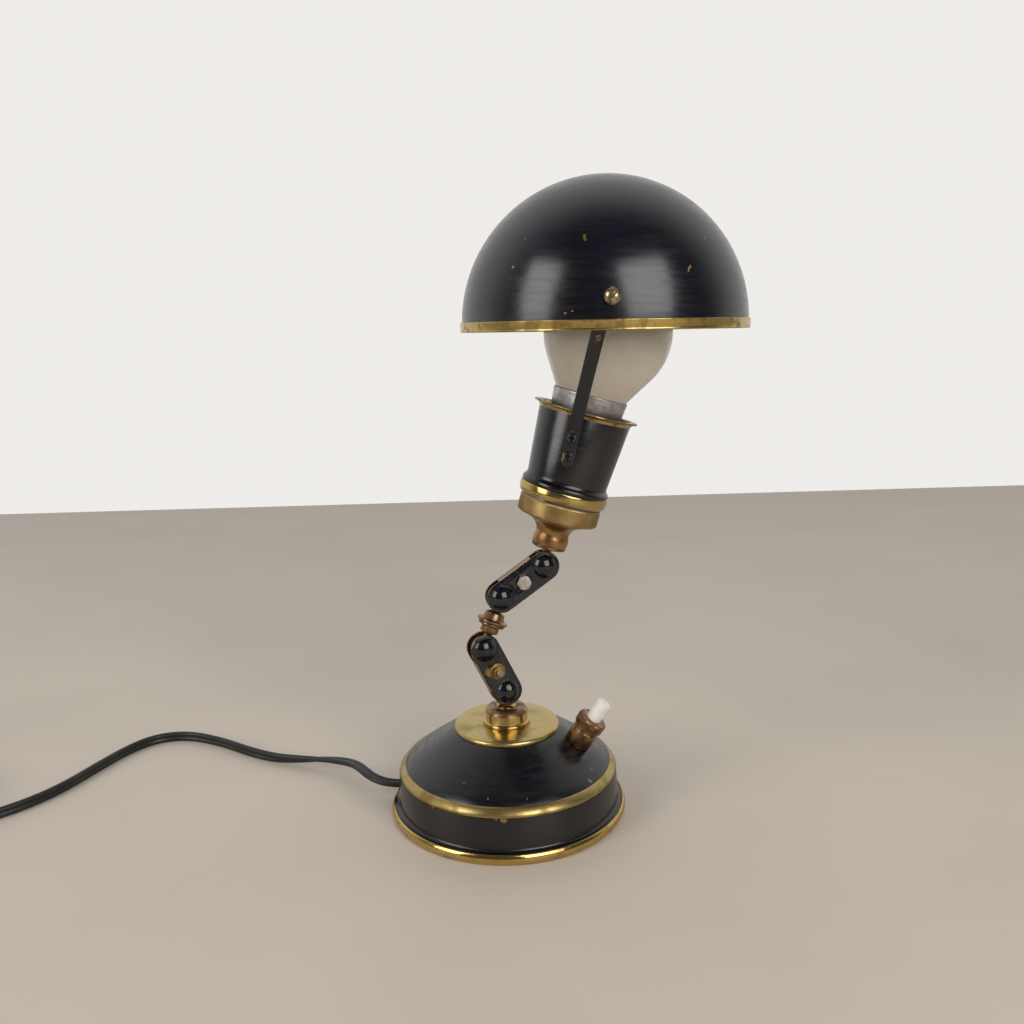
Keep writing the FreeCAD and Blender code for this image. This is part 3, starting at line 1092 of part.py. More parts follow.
def plug(end, heading):
    """Flat two-pin plug at the coil's end, drawn along +Z and laid on the table."""
    angle = math.degrees(math.atan2(heading.y, heading.x))
    half_height = end.z
    thick = half_height * 2
    frame = Placement(end, Rotation(V(0, 0, 1), angle)).multiply(Placement(V(), Rotation(V(0, 1, 0), 90)))
    half = PLUG_WIDTH / 2
    outline = [V(0, -PLUG_CORNER, 0), V(0, PLUG_CORNER, 0), V(0, half, PLUG_NOSE), V(0, half, PLUG_LENGTH),
               V(0, -half, PLUG_LENGTH), V(0, -half, PLUG_NOSE)]
    face = Part.Face(Part.makePolygon(outline + outline[:1]))
    body = face.extrude(V(thick, 0, 0))
    body.translate(V(-half_height, 0, 0))
    edges = [e for e in body.Edges if abs(e.BoundBox.ZMin - PLUG_LENGTH) < EXACT and e.BoundBox.YLength > half]
    body = body.makeFillet(min(PLUG_CORNER, thick) * 0.25, edges)
    save("plug_body", body, frame)
    pins = []
    for y in (-PIN_SPACING / 2, PIN_SPACING / 2):
        pin = revolved((0, 0), (PIN_RADIUS, 0), (PIN_RADIUS, PIN_LENGTH - 1), (PIN_RADIUS - 0.8, PIN_LENGTH), (0, PIN_LENGTH))
        pins.append(moved(pin, shift(0, y, PLUG_LENGTH)))
    save("plug_pins", group(pins), frame)


def base_leads(frame):
    """Leads in the foot: along the weight's channel to the tie tube, and from there to the switch."""
    start = frame.multVec(V(0, 0, -GROMMET_LENGTH + GROMMET_PROUD - SEAT_GAP))
    inward = V(-start.x, -start.y, 0).normalize()
    window = FELT_THICKNESS + PLATE_THICKNESS + WEIGHT_HEIGHT + 1.0 + TIE_WINDOW_HEIGHT / 2
    radial = math.hypot(start.x, start.y)
    first = [start, start + inward * (radial - 26), start + inward * (radial - 16) + V(0, 0, window - start.z),
             start + inward * (radial - TIE_BORE - 0.5) + V(0, 0, window - start.z)]
    way = math.radians(SWITCH_AZIMUTH)
    out = V(math.cos(way), math.sin(way), 0)
    body_bottom = -BUSH_SHANK_LENGTH - SWITCH_BODY_LENGTH - SEAT_GAP
    body_foot = switch_frame().multVec(V(0, 0, body_bottom))
    below_foot = switch_frame().multVec(V(0, 0, body_bottom - 4 * LEAD_RADIUS))
    near = out * (TIE_BORE + 0.5) + V(0, 0, window)
    lead = LEAD_RADIUS + 0.6
    save("base_leads", group([swept_tube(first, lead), swept_tube([near, below_foot, body_foot], LEAD_RADIUS)]))


# ---------------------------------------------------------------- joint lines for whoever poses the lamp
def print_joints():
    up, across = V(0, 0, 1), V(0, 1, 0)
    places = (
        ("arm_swivel", "lower_stud", up), ("lower_hinge", "lower_link", across), ("middle_low_hinge", "middle_lower", across),
        ("middle_swivel", "middle_upper", up), ("middle_high_hinge", "upper_link", across), ("top_hinge", "top_hinge", across),
        ("holder_swivel", "holder", up), ("shade_tilt", "pivot", across))
    for name, key, way in places:
        if key == "top_hinge":
            place = FRAMES["upper_link"].multiply(shift(0, 0, LINK_LENGTH))
        else:
            place = FRAMES[key]
        at, line = place.Base, place.Rotation.multVec(way)
        print(f"joint {name} at {at.x:.4f} {at.y:.4f} {at.z:.4f} along {line.x:.6f} {line.y:.6f} {line.z:.6f}")
    place = switch_frame()
    line = place.Rotation.multVec(up)
    print(f"joint button_press at {place.Base.x:.4f} {place.Base.y:.4f} {place.Base.z:.4f} along {line.x:.6f} {line.y:.6f} {line.z:.6f}")


def main():
    os.makedirs("parts", exist_ok=True)
    foot()
    switch()
    link("lower_link", FRAMES["lower_link"], LOWER_HEX_FLATS, False, True)
    middle_stud()
    link("upper_link", FRAMES["upper_link"], UPPER_HEX_FLATS, True, False)
    top_stud()
    lampholder()
    bulb()
    hanger()
    shade()
    cord()
    print_joints()


main()
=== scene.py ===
"""Visual model of a jointed desk lamp with a dome shade.

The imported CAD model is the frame. This script adds finer turned, pressed and bent pieces
that stand for its visible nodes, a flat twin cord, the finish of every surface, and a plain
studio. Sizes are in millimetres and are multiplied by MM where Blender needs metres.
"""

import json
import logging
import math
from dataclasses import dataclass
from enum import Enum
from typing import Callable, Sequence

import bpy  # noqa: E402
from mathutils import Matrix, Vector  # noqa: E402


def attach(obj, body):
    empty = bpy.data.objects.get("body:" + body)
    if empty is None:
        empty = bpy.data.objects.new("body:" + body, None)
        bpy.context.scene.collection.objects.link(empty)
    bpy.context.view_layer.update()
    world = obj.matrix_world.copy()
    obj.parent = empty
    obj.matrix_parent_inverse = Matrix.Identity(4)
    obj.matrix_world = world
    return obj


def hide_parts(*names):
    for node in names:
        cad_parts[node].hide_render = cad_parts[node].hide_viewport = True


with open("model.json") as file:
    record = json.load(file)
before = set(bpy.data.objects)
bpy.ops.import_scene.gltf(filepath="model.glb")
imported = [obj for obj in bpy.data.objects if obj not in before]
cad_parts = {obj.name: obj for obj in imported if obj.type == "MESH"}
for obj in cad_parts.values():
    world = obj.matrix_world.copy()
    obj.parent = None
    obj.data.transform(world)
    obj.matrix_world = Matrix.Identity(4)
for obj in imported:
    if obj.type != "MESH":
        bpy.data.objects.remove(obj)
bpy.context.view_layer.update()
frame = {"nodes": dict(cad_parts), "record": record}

LOG = logging.getLogger("lamp")
MM = 0.001
FULL_TURN = 2 * math.pi
WELD = 1e-7

Point = tuple[float, float]


# ------------------------------------------------------------------ outlines
@dataclass(frozen=True)
class Arc:
    """Round stretch of an outline, through a middle point to an end, as (radius, height)."""

    middle: Point
    end: Point


Outline = Sequence[Point | Arc]


def circle_through(a: Point, b: Point, c: Point) -> tuple[Point, float]:
    """Circle through three points.

    Args:
        a: First point.
        b: Second point.
        c: Third point.

    Returns:
        Its centre and its radius.
    """
    twice = 2 * (a[0] * (b[1] - c[1]) + b[0] * (c[1] - a[1]) + c[0] * (a[1] - b[1]))
    squares = [p[0] ** 2 + p[1] ** 2 for p in (a, b, c)]
    x = (squares[0] * (b[1] - c[1]) + squares[1] * (c[1] - a[1]) + squares[2] * (a[1] - b[1])) / twice
    y = (squares[0] * (c[0] - b[0]) + squares[1] * (a[0] - c[0]) + squares[2] * (b[0] - a[0])) / twice
    return (x, y), math.dist((x, y), a)


def arc_points(start: Point, arc: Arc, step: float) -> list[Point]:
    """Points along an arc, without its start.

    Args:
        start: Where the arc begins.
        arc: Its middle and end.
        step: Largest turn between two points, in degrees.

    Returns:
        The points, the last of them the arc's end.
    """
    centre, radius = circle_through(start, arc.middle, arc.end)
    first, middle, last = (math.atan2(p[1] - centre[1], p[0] - centre[0]) for p in (start, arc.middle,
                                                                                    arc.end))
    forward = (last - first) % FULL_TURN
    if (middle - first) % FULL_TURN > forward:
        forward -= FULL_TURN
    count = max(2, math.ceil(abs(forward) / math.radians(step)))
    turns = [first + forward * k / count for k in range(1, count)]
    return [(centre[0] + radius * math.cos(t), centre[1] + radius * math.sin(t)) for t in turns] + [arc.end]


def stations(outline: Outline, step: float) -> list[Point]:
    """Corner points of an outline with its arcs divided."""
    points = [outline[0]]
    for part in outline[1:]:
        points += arc_points(points[-1], part, step) if isinstance(part, Arc) else [part]
    return points


def ball_outline(radius: float, neck: float, sign: int = 1) -> list[Point | Arc]:
    """Outline of a ball about the origin, from its pole to where a neck of that radius leaves it."""
    leave = math.sqrt(radius**2 - neck**2)
    return [(0, -sign * radius), Arc((radius, 0), (neck, sign * leave))]


# ------------------------------------------------------------------ modelling by hand
def only(piece: bpy.types.Object) -> None:
    """Selects one object alone and makes it the active one."""
    bpy.ops.object.select_all(action="DESELECT")
    piece.select_set(True)
    bpy.context.view_layer.objects.active = piece


def edit(piece: bpy.types.Object, work: Callable[[], None]) -> None:
    """Runs work in edit mode on all of a piece's mesh."""
    only(piece)
    bpy.ops.object.mode_set(mode="EDIT")
    bpy.ops.mesh.select_all(action="SELECT")
    work()
    bpy.ops.object.mode_set(mode="OBJECT")


def weld_and_face_out() -> None:
    """Merges points that lie together and turns the faces outwards, in edit mode."""
    bpy.ops.mesh.select_all(action="SELECT")
    bpy.ops.mesh.remove_doubles(threshold=WELD)
    bpy.ops.mesh.normals_make_consistent(inside=False)


def apply_modifier(piece: bpy.types.Object, kind: str, **settings: object) -> None:
    """Adds a modifier with these settings and applies it."""
    only(piece)
    modifier = piece.modifiers.new(kind.title(), kind)
    for key, value in settings.items():
        setattr(modifier, key, value)
    bpy.ops.object.modifier_apply(modifier=modifier.name)


def round_edges(piece: bpy.types.Object, width: float, angle: float = 28.0, segments: int = 2) -> None:
    """Rounds every edge that is sharper than an angle.

    Args:
        piece: The piece.
        width: Width of the rounding, in millimetres.
        angle: Least angle between two faces, in degrees.
        segments: Faces across the rounding.
    """
    apply_modifier(
        piece, "BEVEL", width=width * MM, segments=segments, limit_method="ANGLE",
        angle_limit=math.radians(angle), use_clamp_overlap=True, harden_normals=False,
    )


def smooth(piece: bpy.types.Object, angle: float = 40.0) -> None:
    """Shades a piece smooth where its faces meet at less than an angle."""
    only(piece)
    bpy.ops.object.shade_smooth_by_angle(angle=math.radians(angle))


def turned(
    name: str, outline: Outline, edge: float = 0.12, steps: int = 96, arc_step: float = 8.0
) -> bpy.types.Object:
    """Turns an outline about Z as on a lathe.

    Args:
        name: Name of the piece.
        outline: Its (radius, height) corners and arcs. It closes on itself unless it starts on the axis.
        edge: Width of the rounding on its sharp edges, or 0 for none.
        steps: Faces round the piece.
        arc_step: Largest turn between two points of an arc, in degrees.

    Returns:
        The turned piece, about the origin.
    """
    points = stations(outline, arc_step)
    if outline[0][0] > 0:
        points.append(points[0])
    bpy.ops.object.select_all(action="DESELECT")
    bpy.ops.mesh.primitive_plane_add(size=MM)
    piece = bpy.context.object
    piece.name = name

    def draw_and_spin() -> None:
        """Draws the outline from one point and spins it."""
        bpy.ops.mesh.merge(type="CENTER")
        bpy.ops.transform.translate(value=(points[0][0] * MM, 0, points[0][1] * MM))
        for here, there in zip(points, points[1:]):
            step = ((there[0] - here[0]) * MM, 0, (there[1] - here[1]) * MM)
            bpy.ops.mesh.extrude_vertices_move(TRANSFORM_OT_translate={"value": step})
        bpy.ops.mesh.select_all(action="SELECT")
        bpy.ops.mesh.remove_doubles(threshold=WELD)
        bpy.ops.mesh.select_all(action="SELECT")
        bpy.ops.mesh.spin(steps=steps, angle=FULL_TURN, center=(0, 0, 0), axis=(0, 0, 1))
        weld_and_face_out()

    edit(piece, draw_and_spin)
    if edge:
        round_edges(piece, edge)
    smooth(piece)
    return piece


def pick(piece: bpy.types.Object, chosen: Callable[[Vector], bool]) -> None:
    """Selects the points of a mesh that a rule chooses by their place in millimetres, in object mode."""
    edit(piece, lambda: bpy.ops.mesh.select_all(action="DESELECT"))
    for vertex in piece.data.vertices:
        vertex.select = chosen(vertex.co / MM)


def swell(piece: bpy.types.Object, chosen: Callable[[Vector], bool], factor: float) -> None:
    """Moves chosen points out from the Z axis by a factor."""
    pick(piece, chosen)
    only(piece)
    bpy.ops.object.mode_set(mode="EDIT")
    bpy.ops.mesh.select_mode(type="VERT")
    bpy.ops.transform.resize(value=(factor, factor, 1), center_override=(0, 0, 0))
    bpy.ops.object.mode_set(mode="OBJECT")


def cut(piece: bpy.types.Object, tool: bpy.types.Object) -> None:
    """Cuts a closed tool out of a piece and deletes the tool."""
    apply_modifier(piece, "BOOLEAN", object=tool, operation="DIFFERENCE", solver="EXACT")
    bpy.data.objects.remove(tool)


def bar(low: Vector, high: Vector) -> bpy.types.Object:
    """Square block between two corners in millimetres, used as a cutting tool."""
    bpy.ops.object.select_all(action="DESELECT")
    bpy.ops.mesh.primitive_cube_add(size=1)
    block = bpy.context.object
    middle, size = (low + high) / 2, high - low
    block.matrix_world = Matrix.Translation(middle * MM) @ Matrix.Diagonal((*(size * MM), 1))
    bpy.ops.object.transform_apply(location=True, rotation=True, scale=True)
    return block


def joined(name: str, parts: Sequence[bpy.types.Object]) -> bpy.types.Object:
    """Joins separate meshes into one named piece."""
    bpy.ops.object.select_all(action="DESELECT")
    for part in parts:
        part.select_set(True)
    bpy.context.view_layer.objects.active = parts[0]
    bpy.ops.object.join()
    parts[0].name = name
    return parts[0]


def set_in(piece: bpy.types.Object, place: Matrix) -> bpy.types.Object:
    """Puts a piece at its place, with the place in its mesh.

    Args:
        piece: The piece, drawn about the origin.
        place: Where its own frame lies, in metres.

    Returns:
        The same piece.
    """
    only(piece)
    piece.matrix_world = place
    bpy.ops.object.transform_apply(location=True, rotation=True, scale=True)
    return piece


def note_local(piece: bpy.types.Object, place: Matrix) -> None:
    """Keeps each point's place in the piece's own frame as the attribute that finishes read."""
    back = place.inverted()
    values: list[float] = []
    for vertex in piece.data.vertices:
        values.extend(back @ vertex.co)
    piece.data.attributes.new("local", "FLOAT_VECTOR", "POINT").data.foreach_set("vector", values)


def reworked(name: str, node: str, edge: float, angle: float = 28.0) -> bpy.types.Object:
    """Copy of a CAD node with its loose triangles merged and its sharp edges rounded.

    Args:
        name: Name of the copy.
        node: The CAD node.
        edge: Width of the rounding, in millimetres.
        angle: Least angle between faces at a rounded edge, in degrees.

    Returns:
        The copy, which lies where the node does.
    """
    piece = bpy.data.objects.new(name, frame["nodes"][node].data.copy())
    bpy.context.scene.collection.objects.link(piece)
    piece.data.materials.clear()
    only(piece)
    bpy.ops.mesh.customdata_custom_splitnormals_clear()

    def merge_and_thin() -> None:
        """Merges the triangles and melts those that lie in one plane."""
        bpy.ops.mesh.remove_doubles(threshold=1e-6)
        bpy.ops.mesh.dissolve_limited(angle_limit=math.radians(0.6))

    edit(piece, merge_and_thin)
    round_edges(piece, edge, angle)
    smooth(piece, 35.0)
    return piece


# ------------------------------------------------------------------ where each sub-assembly stands
def shift(x: float, y: float, z: float) -> Matrix:
    """Move by a distance in millimetres."""
    return Matrix.Translation(Vector((x, y, z)) * MM)


def turn(degrees: float, axis: str) -> Matrix:
    """Turn about an axis through the origin."""
    return Matrix.Rotation(math.radians(degrees), 4, axis)


@dataclass(frozen=True)
class Stance:
    """How the joints stand in the photograph, in degrees, and the lengths between them."""

    arm_turn: float = 20.7
    lower_link_lean: float = -25.8
    middle_stud_lean: float = 48.2
    upper_link_turn: float = -12.4
    upper_link_lean: float = 34.9
    holder_lean: float = -40.6
    holder_rock: float = 7.0
    shade_lean: float = -15.8
    shade_rock: float = 1.05
    hanger_turn: float = -3.8
    lower_ball_height: float = 59.25
    link_length: float = 25.1
    stud_length: float = 25.85
    hanger_offset: float = -5.45
    pivot_height: float = 124.1
    pivot_above_centre: float = 8.4

    def places(self) -> dict[str, Matrix]:
        """Frame of each sub-assembly along the chain.

        Returns:
            One matrix for each name.
        """
        place = {"foot": Matrix.Identity(4)}
        place["lower_stud"] = shift(0, 0, self.lower_ball_height) @ turn(self.arm_turn, "Z")
        place["lower_link"] = place["lower_stud"] @ turn(self.lower_link_lean, "Y")
        along_link = shift(0, 0, self.link_length)
        place["middle_lower"] = place["lower_link"] @ along_link @ turn(self.middle_stud_lean, "Y")
        place["middle_upper"] = place["middle_lower"] @ turn(self.upper_link_turn, "Z")
        upper_ball = place["middle_upper"] @ shift(0, 0, self.stud_length)
        place["upper_link"] = upper_ball @ turn(self.upper_link_lean, "Y")
        top_ball = place["upper_link"] @ along_link
        place["top_stud"] = top_ball @ turn(self.holder_lean, "Y") @ turn(self.holder_rock, "X")
        across = place["top_stud"].to_3x3() @ Vector((0, 1, 0))
        untwist = self.hanger_turn - math.degrees(math.atan2(-across.x, across.y))
        place["holder"] = place["top_stud"] @ turn(untwist, "Z")
        place["pivot"] = place["holder"] @ shift(self.hanger_offset, 0, self.pivot_height)
        leaned = place["pivot"] @ turn(self.shade_lean, "Y") @ turn(self.shade_rock, "X")
        place["shade"] = leaned @ shift(0, 0, -self.pivot_above_centre)
        return place


PLACES = Stance().places()


# ------------------------------------------------------------------ finishes
class Grain(Enum):
    """How the fine marks of a metal finish run."""

    TURNED = "turned"
    CAST = "cast"
    DRAWN = "drawn"


class Coordinates(Enum):
    """What a finish's pattern is fixed to."""

    OWN_FRAME = "local"
    OBJECT = "object"


class NodeBench:
    """A material being wired, with short calls for the nodes that the finishes use."""

    def __init__(self, name: str, fixed_to: Coordinates) -> None:
        """Starts an empty material with a Principled shader and its output."""
        self.material = bpy.data.materials.new(name)
        self.material.use_nodes = True
        self.tree = self.material.node_tree
        self.tree.nodes.clear()
        self.shader = self.tree.nodes.new("ShaderNodeBsdfPrincipled")
        output = self.tree.nodes.new("ShaderNodeOutputMaterial")
        self.link(self.shader.outputs["BSDF"], output.inputs["Surface"])
        if fixed_to is Coordinates.OWN_FRAME:
            source = self.tree.nodes.new("ShaderNodeAttribute")
            source.attribute_name = "local"
            self.place = source.outputs["Vector"]
        else:
            self.place = self.tree.nodes.new("ShaderNodeTexCoord").outputs["Object"]

    def link(self, source: bpy.types.NodeSocket, target: bpy.types.NodeSocket) -> None:
        """Joins an output to an input."""
        self.tree.links.new(source, target)

    def feed(self, target: bpy.types.NodeSocket, value: object) -> None:
        """Sets an input to a constant, or joins it to an output."""
        if isinstance(value, bpy.types.NodeSocket):
            self.link(value, target)
        elif value is not None:
            target.default_value = value

    def math(self, operation: str, first: object, second: object = None,
             clamp: bool = False) -> bpy.types.NodeSocket:
        """Math node."""
        node = self.tree.nodes.new("ShaderNodeMath")
        node.operation = operation
        node.use_clamp = clamp
        self.feed(node.inputs[0], first)
        self.feed(node.inputs[1], second)
        return node.outputs[0]

    def noise(self, size: float, detail: float = 3.0, stretch: tuple[float, float, float] = (1, 1, 1),
              place: bpy.types.NodeSocket | None = None) -> bpy.types.NodeSocket:
        """Noise of a feature size in millimetres, stretched along the axes.

        Args:
            size: Size of a feature.
            detail: Octaves of finer noise.
            stretch: Factor on the feature's size along each axis.
            place: Coordinates, if not the finish's own.

        Returns:
            A value about 0.5.
        """
        mapping = self.tree.nodes.new("ShaderNodeMapping")
        mapping.inputs["Scale"].default_value = [1 / s for s in stretch]
        self.link(place or self.place, mapping.inputs["Vector"])
        node = self.tree.nodes.new("ShaderNodeTexNoise")
        node.inputs["Scale"].default_value = 1 / (size * MM)
        node.inputs["Detail"].default_value = detail
        self.link(mapping.outputs["Vector"], node.inputs["Vector"])
        return node.outputs["Fac"]

    def ramp(self, value: bpy.types.NodeSocket, low: float, high: float,
             to_low: float = 0.0, to_high: float = 1.0) -> bpy.types.NodeSocket:
        """Smooth step of a value from one range to another."""
        node = self.tree.nodes.new("ShaderNodeMapRange")
        node.interpolation_type = "SMOOTHSTEP"
        self.link(value, node.inputs["Value"])
        for key, number in (("From Min", low), ("From Max", high), ("To Min", to_low), ("To Max", to_high)):
            node.inputs[key].default_value = number
        return node.outputs["Result"]

    def blend(self, share: object, first: object, second: object) -> bpy.types.NodeSocket:
        """Mixes two colours."""
        node = self.tree.nodes.new("ShaderNodeMix")
        node.data_type = "RGBA"
        self.feed(node.inputs["Factor"], share)
        for key, colour in ((6, first), (7, second)):
            whole = (*colour, 1.0) if isinstance(colour, tuple) else colour
            self.feed(node.inputs[key], whole)
        return node.outputs[2]

    def mix(self, share: bpy.types.NodeSocket, first: object, second: object) -> bpy.types.NodeSocket:
        """Mixes two numbers."""
        node = self.tree.nodes.new("ShaderNodeMix")
        self.feed(node.inputs["Factor"], share)
        self.feed(node.inputs[2], first)
        self.feed(node.inputs[3], second)
        return node.outputs[0]

    def split(self) -> tuple[bpy.types.NodeSocket, bpy.types.NodeSocket, bpy.types.NodeSocket]:
        """The three coordinates, in metres."""
        node = self.tree.nodes.new("ShaderNodeSeparateXYZ")
        self.link(self.place, node.inputs[0])
        return node.outputs[0], node.outputs[1], node.outputs[2]

    def from_axis(self) -> bpy.types.NodeSocket:
        """Distance from the Z axis, in metres."""
        x, y, _ = self.split()
        return self.math("SQRT", self.math("ADD", self.math("MULTIPLY", x, x), self.math("MULTIPLY", y, y)))

    def lathe_lines(self) -> bpy.types.NodeSocket:
        """Fine rings left by a lathe or a polishing mop, as noise along radius and height alone."""
        radius = self.from_axis()
        _, _, height = self.split()
        rings = self.tree.nodes.new("ShaderNodeCombineXYZ")
        self.link(radius, rings.inputs[0])
        self.link(height, rings.inputs[1])
        return self.noise(0.35, 4.0, place=rings.outputs[0])

    def bump(self, height: bpy.types.NodeSocket, depth: float, strength: float = 1.0) -> None:
        """Adds relief of a depth in millimetres under what is there."""
        node = self.tree.nodes.new("ShaderNodeBump")
        node.inputs["Distance"].default_value = depth * MM
        node.inputs["Strength"].default_value = strength
        self.link(height, node.inputs["Height"])
        earlier = self.shader.inputs["Normal"].links
        if earlier:
            self.link(earlier[0].from_socket, node.inputs["Normal"])
        self.link(node.outputs["Normal"], self.shader.inputs["Normal"])

    def spot(self, mark: "Mark") -> bpy.types.NodeSocket:
        """Ragged oval patch, 1 inside and 0 outside."""
        mapping = self.tree.nodes.new("ShaderNodeMapping")
        mapping.vector_type = "TEXTURE"
        mapping.inputs["Location"].default_value = [c * MM for c in mark.centre]
        mapping.inputs["Rotation"].default_value = [math.radians(a) for a in mark.turn]
        mapping.inputs["Scale"].default_value = [s * MM / 2 for s in mark.size]
        self.link(self.place, mapping.inputs["Vector"])
        length = self.tree.nodes.new("ShaderNodeVectorMath")
        length.operation = "LENGTH"
        self.link(mapping.outputs["Vector"], length.inputs[0])
        ragged = self.math("ADD", length.outputs["Value"],
                           self.ramp(self.noise(mark.ragged), 0.3, 0.7, -0.5, 0.5))
        return self.ramp(ragged, 0.8, 1.1, 1.0, 0.0)

    def any_of(self, masks: Sequence[bpy.types.NodeSocket]) -> bpy.types.NodeSocket:
        """Greatest of several masks."""
        whole = masks[0]
        for mask in masks[1:]:
            whole = self.math("MAXIMUM", whole, mask)
        return whole


@dataclass(frozen=True)
class Mark:
    """Chip, scratch, worn patch, painted highlight or painted reflection: its middle, size and turn in the
    piece's frame, in mm and degrees.
    """

    centre: tuple[float, float, float]
    size: tuple[float, float, float]
    turn: tuple[float, float, float] = (0, 0, 0)
    ragged: float = 0.5


@dataclass(frozen=True)
class Metal:
    """Bare metal with tarnish: its bright and dull colours, roughness and the run of its fine marks."""

    name: str
    bright: tuple[float, float, float]
    dull: tuple[float, float, float]
    roughness: tuple[float, float] = (0.18, 0.4)
    patch: float = 9.0
    tarnish: tuple[float, float] = (0.42, 0.68)
    grain: Grain = Grain.TURNED
    relief: float = 0.012
    worn: tuple[Mark, ...] = ()

    def dress(self, fixed_to: Coordinates = Coordinates.OWN_FRAME) -> bpy.types.Material:
        """Builds the material.

        Args:
            fixed_to: What the pattern is fixed to.

        Returns:
            The material.
        """
        bench = NodeBench(f"{self.name}_{fixed_to.value}", fixed_to)
        bench.shader.inputs["Metallic"].default_value = 1.0
        patches = bench.ramp(bench.noise(self.patch, 6.0), *self.tarnish)
        specks = bench.ramp(bench.noise(self.patch / 14, 3.0), 0.62, 0.74)
        dulled = bench.math("MAXIMUM", patches, bench.math("MULTIPLY", specks, 0.55))
        if self.worn:
            rubbed = bench.any_of([bench.spot(mark) for mark in self.worn])
            dulled = bench.math("MULTIPLY", dulled, bench.math("SUBTRACT", 1.0, rubbed))
        bench.link(bench.blend(dulled, self.bright, self.dull), bench.shader.inputs["Base Color"])
        if self.grain is Grain.TURNED:
            fine = bench.lathe_lines()
        elif self.grain is Grain.DRAWN:
            fine = bench.noise(0.4, 4.0, (1, 1, 12))
        else:
            fine = bench.noise(0.6, 6.0)
        low, high = self.roughness
        spread = bench.ramp(fine, 0.3, 0.7, -0.05, 0.05)
        smoothness = bench.math("ADD", bench.mix(dulled, low, high), spread, clamp=True)
        bench.link(smoothness, bench.shader.inputs["Roughness"])
        bench.bump(fine, self.relief, 0.35)
        bench.bump(bench.noise(3.5, 2.0), self.relief * 2, 0.3)
        return bench.material


@dataclass(frozen=True)
class Lacquer:
    """Black stoved lacquer with wiping streaks, dust, chips down to the brass, and brass patches of painted
    highlight and painted reflection where its marks put them.
    """

    name: str = "lacquer"
    deep: tuple[float, float, float] = (0.0022, 0.0026, 0.0048)
    blue: tuple[float, float, float] = (0.0035, 0.0048, 0.0115)
    bare_brass_and_painted_glint: tuple[float, float, float] = (0.50, 0.30, 0.11)
    roughness: tuple[float, float] = (0.20, 0.28)
    marks: tuple[Mark, ...] = ()
    worn_link: bool = False

    def dress(self, fixed_to: Coordinates = Coordinates.OWN_FRAME) -> bpy.types.Material:
        """Builds the material.

        Args:
            fixed_to: What the pattern is fixed to.

        Returns:
            The material.
        """
        bench = NodeBench(f"{self.name}_{fixed_to.value}", fixed_to)
        cloud = bench.ramp(bench.noise(26.0, 4.0), 0.35, 0.65)
        colour = bench.blend(cloud, self.deep, self.blue)
        dust = bench.ramp(bench.noise(0.9, 1.0), 0.76, 0.80)
        colour = bench.blend(bench.math("MULTIPLY", dust, 0.06), colour, (0.30, 0.30, 0.29))
        streaks = bench.noise(1.6, 5.0, (9, 9, 1))
        low, high = self.roughness
        rough = bench.ramp(streaks, 0.35, 0.72, low, high)
        masks = [bench.spot(mark) for mark in self.marks]
        if self.worn_link:
            masks.append(self.worn_edges(bench))
        if masks:
            # Brass patches: chips and worn edges, and also painted highlight and painted reflection where the
            # marks put them.
            bare_brass_and_painted_glint = bench.any_of(masks)
            metal = bench.blend(bench.ramp(bench.noise(0.8, 3.0), 0.4, 0.62), self.bare_brass_and_painted_glint, (0.20, 0.11, 0.05))
            colour = bench.blend(bare_brass_and_painted_glint, colour, metal)
            rough = bench.mix(bare_brass_and_painted_glint, rough, 0.42)
            bench.link(bench.math("MULTIPLY", bare_brass_and_painted_glint, 0.9), bench.shader.inputs["Metallic"])
            bench.bump(bench.math("SUBTRACT", 1.0, bare_brass_and_painted_glint), 0.05, 0.6)
        bench.link(colour, bench.shader.inputs["Base Color"])
        bench.link(rough, bench.shader.inputs["Roughness"])
        bench.shader.inputs["Specular IOR Level"].default_value = 0.62
        bench.bump(bench.noise(2.2, 2.0), 0.012, 0.35)
        bench.bump(streaks, 0.003, 0.4)
        return bench.material

    def worn_edges(self, bench: NodeBench) -> bpy.types.NodeSocket:
        """Brass that shows along the edges of a pressed link.

        Args:
            bench: The material, on a piece in the link's frame.

        Returns:
            A mask, 1 where the lacquer has gone.
        """
        x, y, z = bench.split()
        beyond = bench.math("SUBTRACT", z, LINK_SIZES.length * MM)
        along = bench.math("MAXIMUM", bench.math("MAXIMUM", beyond, bench.math("MULTIPLY", z, -1.0)), 0.0)
        out = bench.math("SQRT", bench.math("ADD", bench.math("MULTIPLY", x, x),
                                            bench.math("MULTIPLY", along, along)))
        wander = bench.ramp(bench.noise(1.6, 4.0), 0.3, 0.7, -0.35 * MM, 0.35 * MM)
        depth = bench.math("ABSOLUTE", y)
        flange_edge = bench.ramp(bench.math("ADD", depth, wander), 0.62 * MM, 0.85 * MM, 1.0, 0.0)
        at_side = bench.ramp(out, LINK_SIZES.half_width * MM - 0.45 * MM,
                             LINK_SIZES.half_width * MM - 0.3 * MM)
        at_end = bench.ramp(along, -0.1 * MM, 0.1 * MM)
        low_on_end = bench.ramp(bench.math("ADD", depth, wander), 3.42 * MM, 3.6 * MM, 1.0, 0.0)
        end_edge = bench.math("MULTIPLY", at_end, bench.math("MULTIPLY", at_side, low_on_end))
        rub = bench.ramp(bench.noise(3.2, 4.0), 0.60, 0.66)
        side_rub = bench.math("MULTIPLY", rub, at_side)
        return bench.any_of([flange_edge, end_edge, side_rub])


